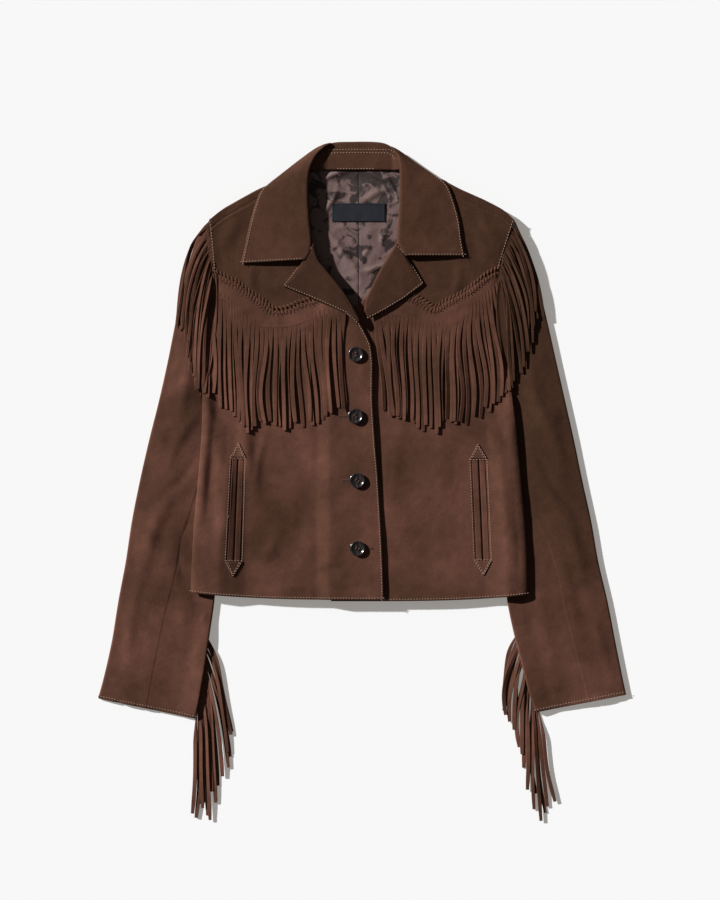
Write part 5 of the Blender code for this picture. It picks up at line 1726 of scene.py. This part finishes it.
def offset_plan(path, distance):
    """A plan path moved sideways, to the left of its direction where distance is positive."""
    tangent = np.gradient(path, axis=0)
    tangent /= np.linalg.norm(tangent, axis=1, keepdims=True)
    return path + np.column_stack([-tangent[:, 1], tangent[:, 0]]) * distance


class JACKET_OT_lacing(bpy.types.Operator):
    """Lace the edge of each yoke to the fringe"""

    bl_idname = "jacket.lacing"
    bl_label = "Lacing"

    def execute(self, context):
        cord = suede(context, "laced_suede")
        # The slots and the holes are dark stitches: painted shadow where the lacing passes into the suede
        dark = thread_material("lacing_shadow", [0.006, 0.004, 0.004])
        for side in SIDES:
            lean = 1.0 if side == "right" else -1.0
            line = plan_path(yoke_line(side), 240)
            tree = carried((f"yoke_cloth_{side}", f"fringe_band_{side}"))
            rows = (
                # name, offset, lift, surface, pitch, length, width, height, slant
                ("slots", 0.4, 0.1, dark, 0.0052, 0.0050, 0.0012, 0.0006, 0.55 * lean),
                ("whip", 0.9, 0.15, cord, 0.0052, 0.0072, 0.0030, 0.0010, 0.85 * lean),
                ("cross", -LACING_DEPTH * 0.5, 0.05, cord, 0.0042, 0.0082, 0.0024, 0.0010, 1.15 * lean),
                ("back_cross", -LACING_DEPTH * 0.55, 0.0, cord, 0.0052, 0.0076, 0.0020, 0.0010, -1.0 * lean),
                ("holes", -LACING_DEPTH, 0.05, dark, 0.0052, 0.0018, 0.0014, 0.0005, 0.3),
            )
            for seed, (name, offset, lift, surface, pitch, length, width, height, slant) in enumerate(rows):
                path = on_surface(tree, offset_plan(line, offset), lift)
                sewn(
                    f"lacing_{name}_{side}", [path], surface, "fringe_suede", pitch, length, width, height,
                    slant, 131 + seed,
                )
        return {"FINISHED"}


# Stitching and buttons


class JACKET_OT_stitching(bpy.types.Operator):
    """Topstitch the edges, seams, pockets and buttonholes"""

    bl_idname = "jacket.stitching"
    bl_label = "Stitching"

    def execute(self, context):
        sizes = context.scene.jacket_sizes
        tan = thread(context)
        brown = own_thread(context)
        gauge = (sizes.stitch_pitch, sizes.stitch_length, sizes.thread_width, sizes.thread_width * 0.75)
        runs = {
            "hem_stitches": [edge_run("front_upper", "end", 2.4), edge_run("front_lower", "end", 2.4)],
            "placket_stitches": [edge_run("front_upper", "right", 2.2)],
        }
        for side in SIDES:
            runs[f"collar_stitches_{side}"] = [
                edge_run(f"collar_cloth_{side}", "right", 3.0)[:52],
                edge_run(f"collar_cloth_{side}", "start", 2.4)[13:],
            ]
            runs[f"lapel_stitches_{side}"] = [
                edge_run(f"lapel_cloth_{side}", "right", 2.4),
                edge_run(f"lapel_cloth_{side}", "start", 2.2)[17:],
            ]
            runs[f"cuff_stitches_{side}"] = [edge_run(f"sleeve_{side}", "end", 3.0)]
            runs[f"armhole_stitches_{side}"] = [edge_run(f"yoke_cloth_{side}", "start", 2.0)]
        stand = carried(("collar_stand",))
        runs["stand_stitches"] = [on_surface(stand, row, 0.12) for row in STAND_STITCHES]
        for name, paths in runs.items():
            sewn(name, paths, tan, "suede", *gauge, seed=141)
        self.pockets(tan, gauge)
        self.seams(brown, gauge)
        self.buttonholes(brown)
        return {"FINISHED"}

    def pockets(self, tan, gauge):
        for side, front in (("left", "front_upper"), ("right", "front_lower")):
            pocket = POCKETS[side]
            tree = carried([name for name in made if name.startswith(("pocket_", front)) and "stitch" not in name])
            lean = (pocket.top_x - pocket.bottom_x) / (pocket.top_y - pocket.bottom_y)
            reach = POCKET_TAB_LENGTH
            top_apex = (pocket.top_x + reach * lean, pocket.top_y + reach)
            low_apex = (pocket.bottom_x - reach * lean, pocket.bottom_y - reach)
            corners = [
                (pocket.top_x - pocket.half_top, pocket.top_y), top_apex,
                (pocket.top_x + pocket.half_top, pocket.top_y),
                (pocket.bottom_x + pocket.half_bottom, pocket.bottom_y), low_apex,
                (pocket.bottom_x - pocket.half_bottom, pocket.bottom_y),
            ]
            centre = np.mean(corners, axis=0)
            outline = []
            for grow in (0.0, -2.2):
                ring = []
                for corner in corners:
                    away = np.array(corner) - centre
                    sideways = np.sign(away[0]) * grow if abs(away[0]) > 5.0 else 0.0
                    ring.append((corner[0] + sideways, corner[1] + np.sign(away[1]) * (grow if sideways == 0.0 else 0.0)))
                outline.append(ring)
            outer, inner = outline
            paths = [
                outer + outer[:1], inner[:3], inner[3:],
                [(outer[0][0] + 1.5, pocket.top_y - 0.3), (outer[2][0] - 1.5, pocket.top_y - 0.3)],
                [(outer[3][0] - 1.5, pocket.bottom_y + 0.3), (outer[5][0] + 1.5, pocket.bottom_y + 0.3)],
            ]
            rows = [on_surface(tree, path, 0.15) for path in paths]
            sewn(f"pocket_stitches_{side}", rows, tan, "suede", *gauge, seed=151)

    def seams(self, brown, gauge):
        """Seams sewn in the suede's own colour."""
        for side in SIDES:
            path = np.array(made[f"yoke_cloth_{side}"]["seam_path"]) + [0.0, 0.0, 0.1]
            sewn(f"shoulder_seam_{side}", [path[2:-2]], brown, "suede", gauge[0], gauge[1], 0.0007, 0.0005, seed=161)

    def buttonholes(self, brown):
        tree = carried(("front_upper",))
        paths = []
        for start_x, start_y, end_x, end_y in BUTTONHOLES:
            for shift in (-0.9, 0.9):
                paths.append(on_surface(tree, [(start_x, start_y + shift), (end_x, end_y + shift)], 0.15))
        sewn("buttonholes", paths, brown, "suede", 0.0008, 0.0017, 0.0007, 0.0006, 1.5708, 171)
        # Each slit is a row of dark stitches: painted shadow in the opening
        slits = [on_surface(tree, [(a, b), (c, d)], 0.2) for a, b, c, d in BUTTONHOLES]
        dark = thread_material("lacing_shadow", [0.006, 0.004, 0.004])
        sewn("buttonhole_slits", slits, dark, "suede", 0.0012, 0.0022, 0.0009, 0.0006, 0.0, 172)


def turned(name, profile, holes, x, y, z, surface):
    """A turned disc with a ring of holes through it."""
    sides = 72
    built = bmesh.new()
    rings = []
    for radius, height in profile:
        angles = [math.tau * step / sides for step in range(sides)]
        rings.append([built.verts.new((radius * math.cos(a), radius * math.sin(a), height)) for a in angles])
    for low, high in zip(rings, rings[1:]):
        for k in range(sides):
            built.faces.new((low[k], low[(k + 1) % sides], high[(k + 1) % sides], high[k]))
    built.faces.new(rings[0][::-1])
    built.faces.new(rings[-1])
    mesh = bpy.data.meshes.new(name)
    built.to_mesh(mesh)
    built.free()
    disc = bpy.data.objects.new(name, mesh)
    bpy.context.scene.collection.objects.link(disc)
    drill = bmesh.new()
    for hole_x, hole_y in holes:
        made_hole = bmesh.ops.create_cone(
            drill, cap_ends=True, segments=20, radius1=1.0, radius2=1.0, depth=14.0
        )
        bmesh.ops.translate(drill, verts=made_hole["verts"], vec=(hole_x, hole_y, 1.0))
    cutter_mesh = bpy.data.meshes.new(name + "_holes")
    drill.to_mesh(cutter_mesh)
    drill.free()
    cutter = bpy.data.objects.new(name + "_holes", cutter_mesh)
    bpy.context.scene.collection.objects.link(cutter)
    bore = disc.modifiers.new("holes", "BOOLEAN")
    bore.object = cutter
    bore.operation = "DIFFERENCE"
    bore.solver = "EXACT"
    bpy.context.view_layer.update()
    evaluated = disc.evaluated_get(bpy.context.evaluated_depsgraph_get())
    final = bpy.data.meshes.new_from_object(evaluated)
    bpy.data.objects.remove(disc)
    bpy.data.objects.remove(cutter)
    points = np.empty(len(final.vertices) * 3)
    final.vertices.foreach_get("co", points)
    points = (points.reshape(-1, 3) + [x, y, z]) * MM
    final.vertices.foreach_set("co", points.ravel())
    final.materials.clear()
    final.materials.append(surface)
    final.name = name
    final.shade_smooth()
    thing = bpy.data.objects.new(name, final)
    bpy.context.scene.collection.objects.link(thing)
    final.set_sharp_from_angle(angle=math.radians(38.0))
    return thing


class JACKET_OT_buttons(bpy.types.Operator):
    """Make the four buttons and the thread that holds them"""

    bl_idname = "jacket.buttons"
    bl_label = "Buttons"

    def execute(self, context):
        sizes = context.scene.jacket_sizes
        horn = horn_material("horn", list(context.scene.jacket_colours.button))
        brown = own_thread(context)
        radius = sizes.button_diameter / MM / 2.0
        for number, (x, y) in enumerate(BUTTONS, 1):
            node = f"button_{number}"
            low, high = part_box(node)
            base = low[2] / MM
            height = (high[2] - low[2]) / MM
            profile = [
                (radius - 2.2, 0.0), (radius - 0.9, 0.3), (radius - 0.2, 1.0), (radius, height - 1.1),
                (radius - 0.25, height - 0.4), (radius - 0.8, height - 0.05), (radius - 1.5, height),
                (radius - 2.1, height - 0.25), (radius - 2.6, height - 0.75), (radius - 3.4, height - 1.15),
                (radius - 5.0, height - 1.3), (1.2, height - 1.3),
            ]
            angle = 0.5 + 0.4 * number
            holes = []
            for step in range(4):
                turn = angle + math.tau * step / 4.0
                holes.append((2.5 * math.cos(turn), 2.5 * math.sin(turn)))
            disc = turned(f"horn_button_{number}", profile, holes, x, y, base, horn)
            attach(disc, BODY)
            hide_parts(node)
            top = base + height - 1.15
            paths = []
            for first, second in ((0, 1), (3, 2)):
                for side in (-0.35, 0.35):
                    (ax, ay), (bx, by) = holes[first], holes[second]
                    stops = np.linspace(0.0, 1.0, 9)
                    rise = top + 0.25 + 0.3 * np.sin(stops * math.pi) - 1.6 * (np.abs(stops - 0.5) > 0.45)
                    paths.append(np.column_stack([
                        x + mix(ax, bx, stops) + side, y + mix(ay, by, stops) + side, rise,
                    ]))
            hold = curve_of(f"button_{number}_thread_path", paths)
            hold.data.bevel_depth = 0.00035
            hold.data.bevel_resolution = 2
            hold.data.use_fill_caps = True
            bpy.context.view_layer.update()
            evaluated = hold.evaluated_get(bpy.context.evaluated_depsgraph_get())
            mesh = bpy.data.meshes.new_from_object(evaluated)
            mesh.materials.clear()
            mesh.materials.append(brown)
            data = hold.data
            bpy.data.objects.remove(hold)
            bpy.data.curves.remove(data)
            tied = bpy.data.objects.new(f"button_thread_{number}", mesh)
            bpy.context.scene.collection.objects.link(tied)
            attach(tied, BODY)
        return {"FINISHED"}


# Stage


class JACKET_OT_stage(bpy.types.Operator):
    """Set the pale floor, the light and the camera"""

    bl_idname = "jacket.stage"
    bl_label = "Stage"

    def execute(self, context):
        colour = list(context.scene.jacket_colours.floor)
        bpy.ops.mesh.primitive_plane_add(size=12.0, location=(0.0, 0.0, -0.0002))
        floor = context.object
        floor.name = "floor"
        paper, tree, shader, where = new_material("light_table")
        grain = noise(tree, where, 0.6)
        tree.links.new(blend(tree, grain, [value * 0.985 for value in colour], colour), shader.inputs["Base Color"])
        shader.inputs["Roughness"].default_value = 0.9
        shader.inputs["Specular IOR Level"].default_value = 0.0
        # The floor's glow is painted light: it lightens the shadows that fall on the floor
        shader.inputs["Emission Color"].default_value = (*context.scene.jacket_colours.floor_glow, 1.0)
        shader.inputs["Emission Strength"].default_value = 1.0
        floor.data.materials.append(paper)

        sun = bpy.data.objects.new("key_light", bpy.data.lights.new("key_light", "SUN"))
        sun.data.energy = SUN_STRENGTH
        sun.data.angle = math.radians(2.2)
        rise = math.radians(SUN_ELEVATION)
        direction = Vector((0.882 * math.cos(rise), -0.471 * math.cos(rise), -math.sin(rise)))
        sun.rotation_euler = direction.to_track_quat("-Z", "Y").to_euler()
        context.scene.collection.objects.link(sun)

        world = bpy.data.worlds.new("studio")
        world.use_nodes = True
        world.node_tree.nodes["Background"].inputs["Color"].default_value = (1.0, 1.0, 1.0, 1.0)
        world.node_tree.nodes["Background"].inputs["Strength"].default_value = FILL_STRENGTH
        context.scene.world = world
        context.scene.view_settings.view_transform = "Standard"

        camera = bpy.data.objects.new("camera", bpy.data.cameras.new("camera"))
        camera.data.sensor_width = 36.0
        camera.data.lens = 36.0 * CAMERA_HEIGHT / PHOTO_LONG_SIDE
        camera.location = Vector((-3.2, 36.8, CAMERA_HEIGHT)) * MM
        context.scene.collection.objects.link(camera)
        context.scene.camera = camera
        return {"FINISHED"}


class JACKET_PT_panel(bpy.types.Panel):
    """Sizes, colours and steps of the jacket"""

    bl_label = "Suede fringe jacket"
    bl_idname = "JACKET_PT_panel"
    bl_space_type = "VIEW_3D"
    bl_region_type = "UI"
    bl_category = "Jacket"

    def draw(self, context):
        layout = self.layout
        for group in (context.scene.jacket_sizes, context.scene.jacket_colours):
            box = layout.box()
            for name in group.__annotations__:
                box.prop(group, name)
        for step in OPERATORS:
            layout.operator(step.bl_idname)


OPERATORS = [
    JACKET_OT_body, JACKET_OT_sleeves, JACKET_OT_yokes, JACKET_OT_pockets, JACKET_OT_collar,
    JACKET_OT_lining, JACKET_OT_fringe, JACKET_OT_lacing, JACKET_OT_stitching, JACKET_OT_buttons,
    JACKET_OT_stage,
]
CLASSES = [JacketSizes, JacketColours, *OPERATORS, JACKET_PT_panel]


def register():
    for cls in CLASSES:
        bpy.utils.register_class(cls)
    bpy.types.Scene.jacket_sizes = PointerProperty(type=JacketSizes)
    bpy.types.Scene.jacket_colours = PointerProperty(type=JacketColours)


def unregister():
    del bpy.types.Scene.jacket_colours
    del bpy.types.Scene.jacket_sizes
    for cls in reversed(CLASSES):
        bpy.utils.unregister_class(cls)


def main():
    register()
    bpy.ops.jacket.body()
    bpy.ops.jacket.sleeves()
    bpy.ops.jacket.yokes()
    bpy.ops.jacket.pockets()
    bpy.ops.jacket.collar()
    bpy.ops.jacket.lining()
    bpy.ops.jacket.fringe()
    bpy.ops.jacket.lacing()
    bpy.ops.jacket.stitching()
    bpy.ops.jacket.buttons()
    bpy.ops.jacket.stage()


if __name__ == "__main__":
    main()
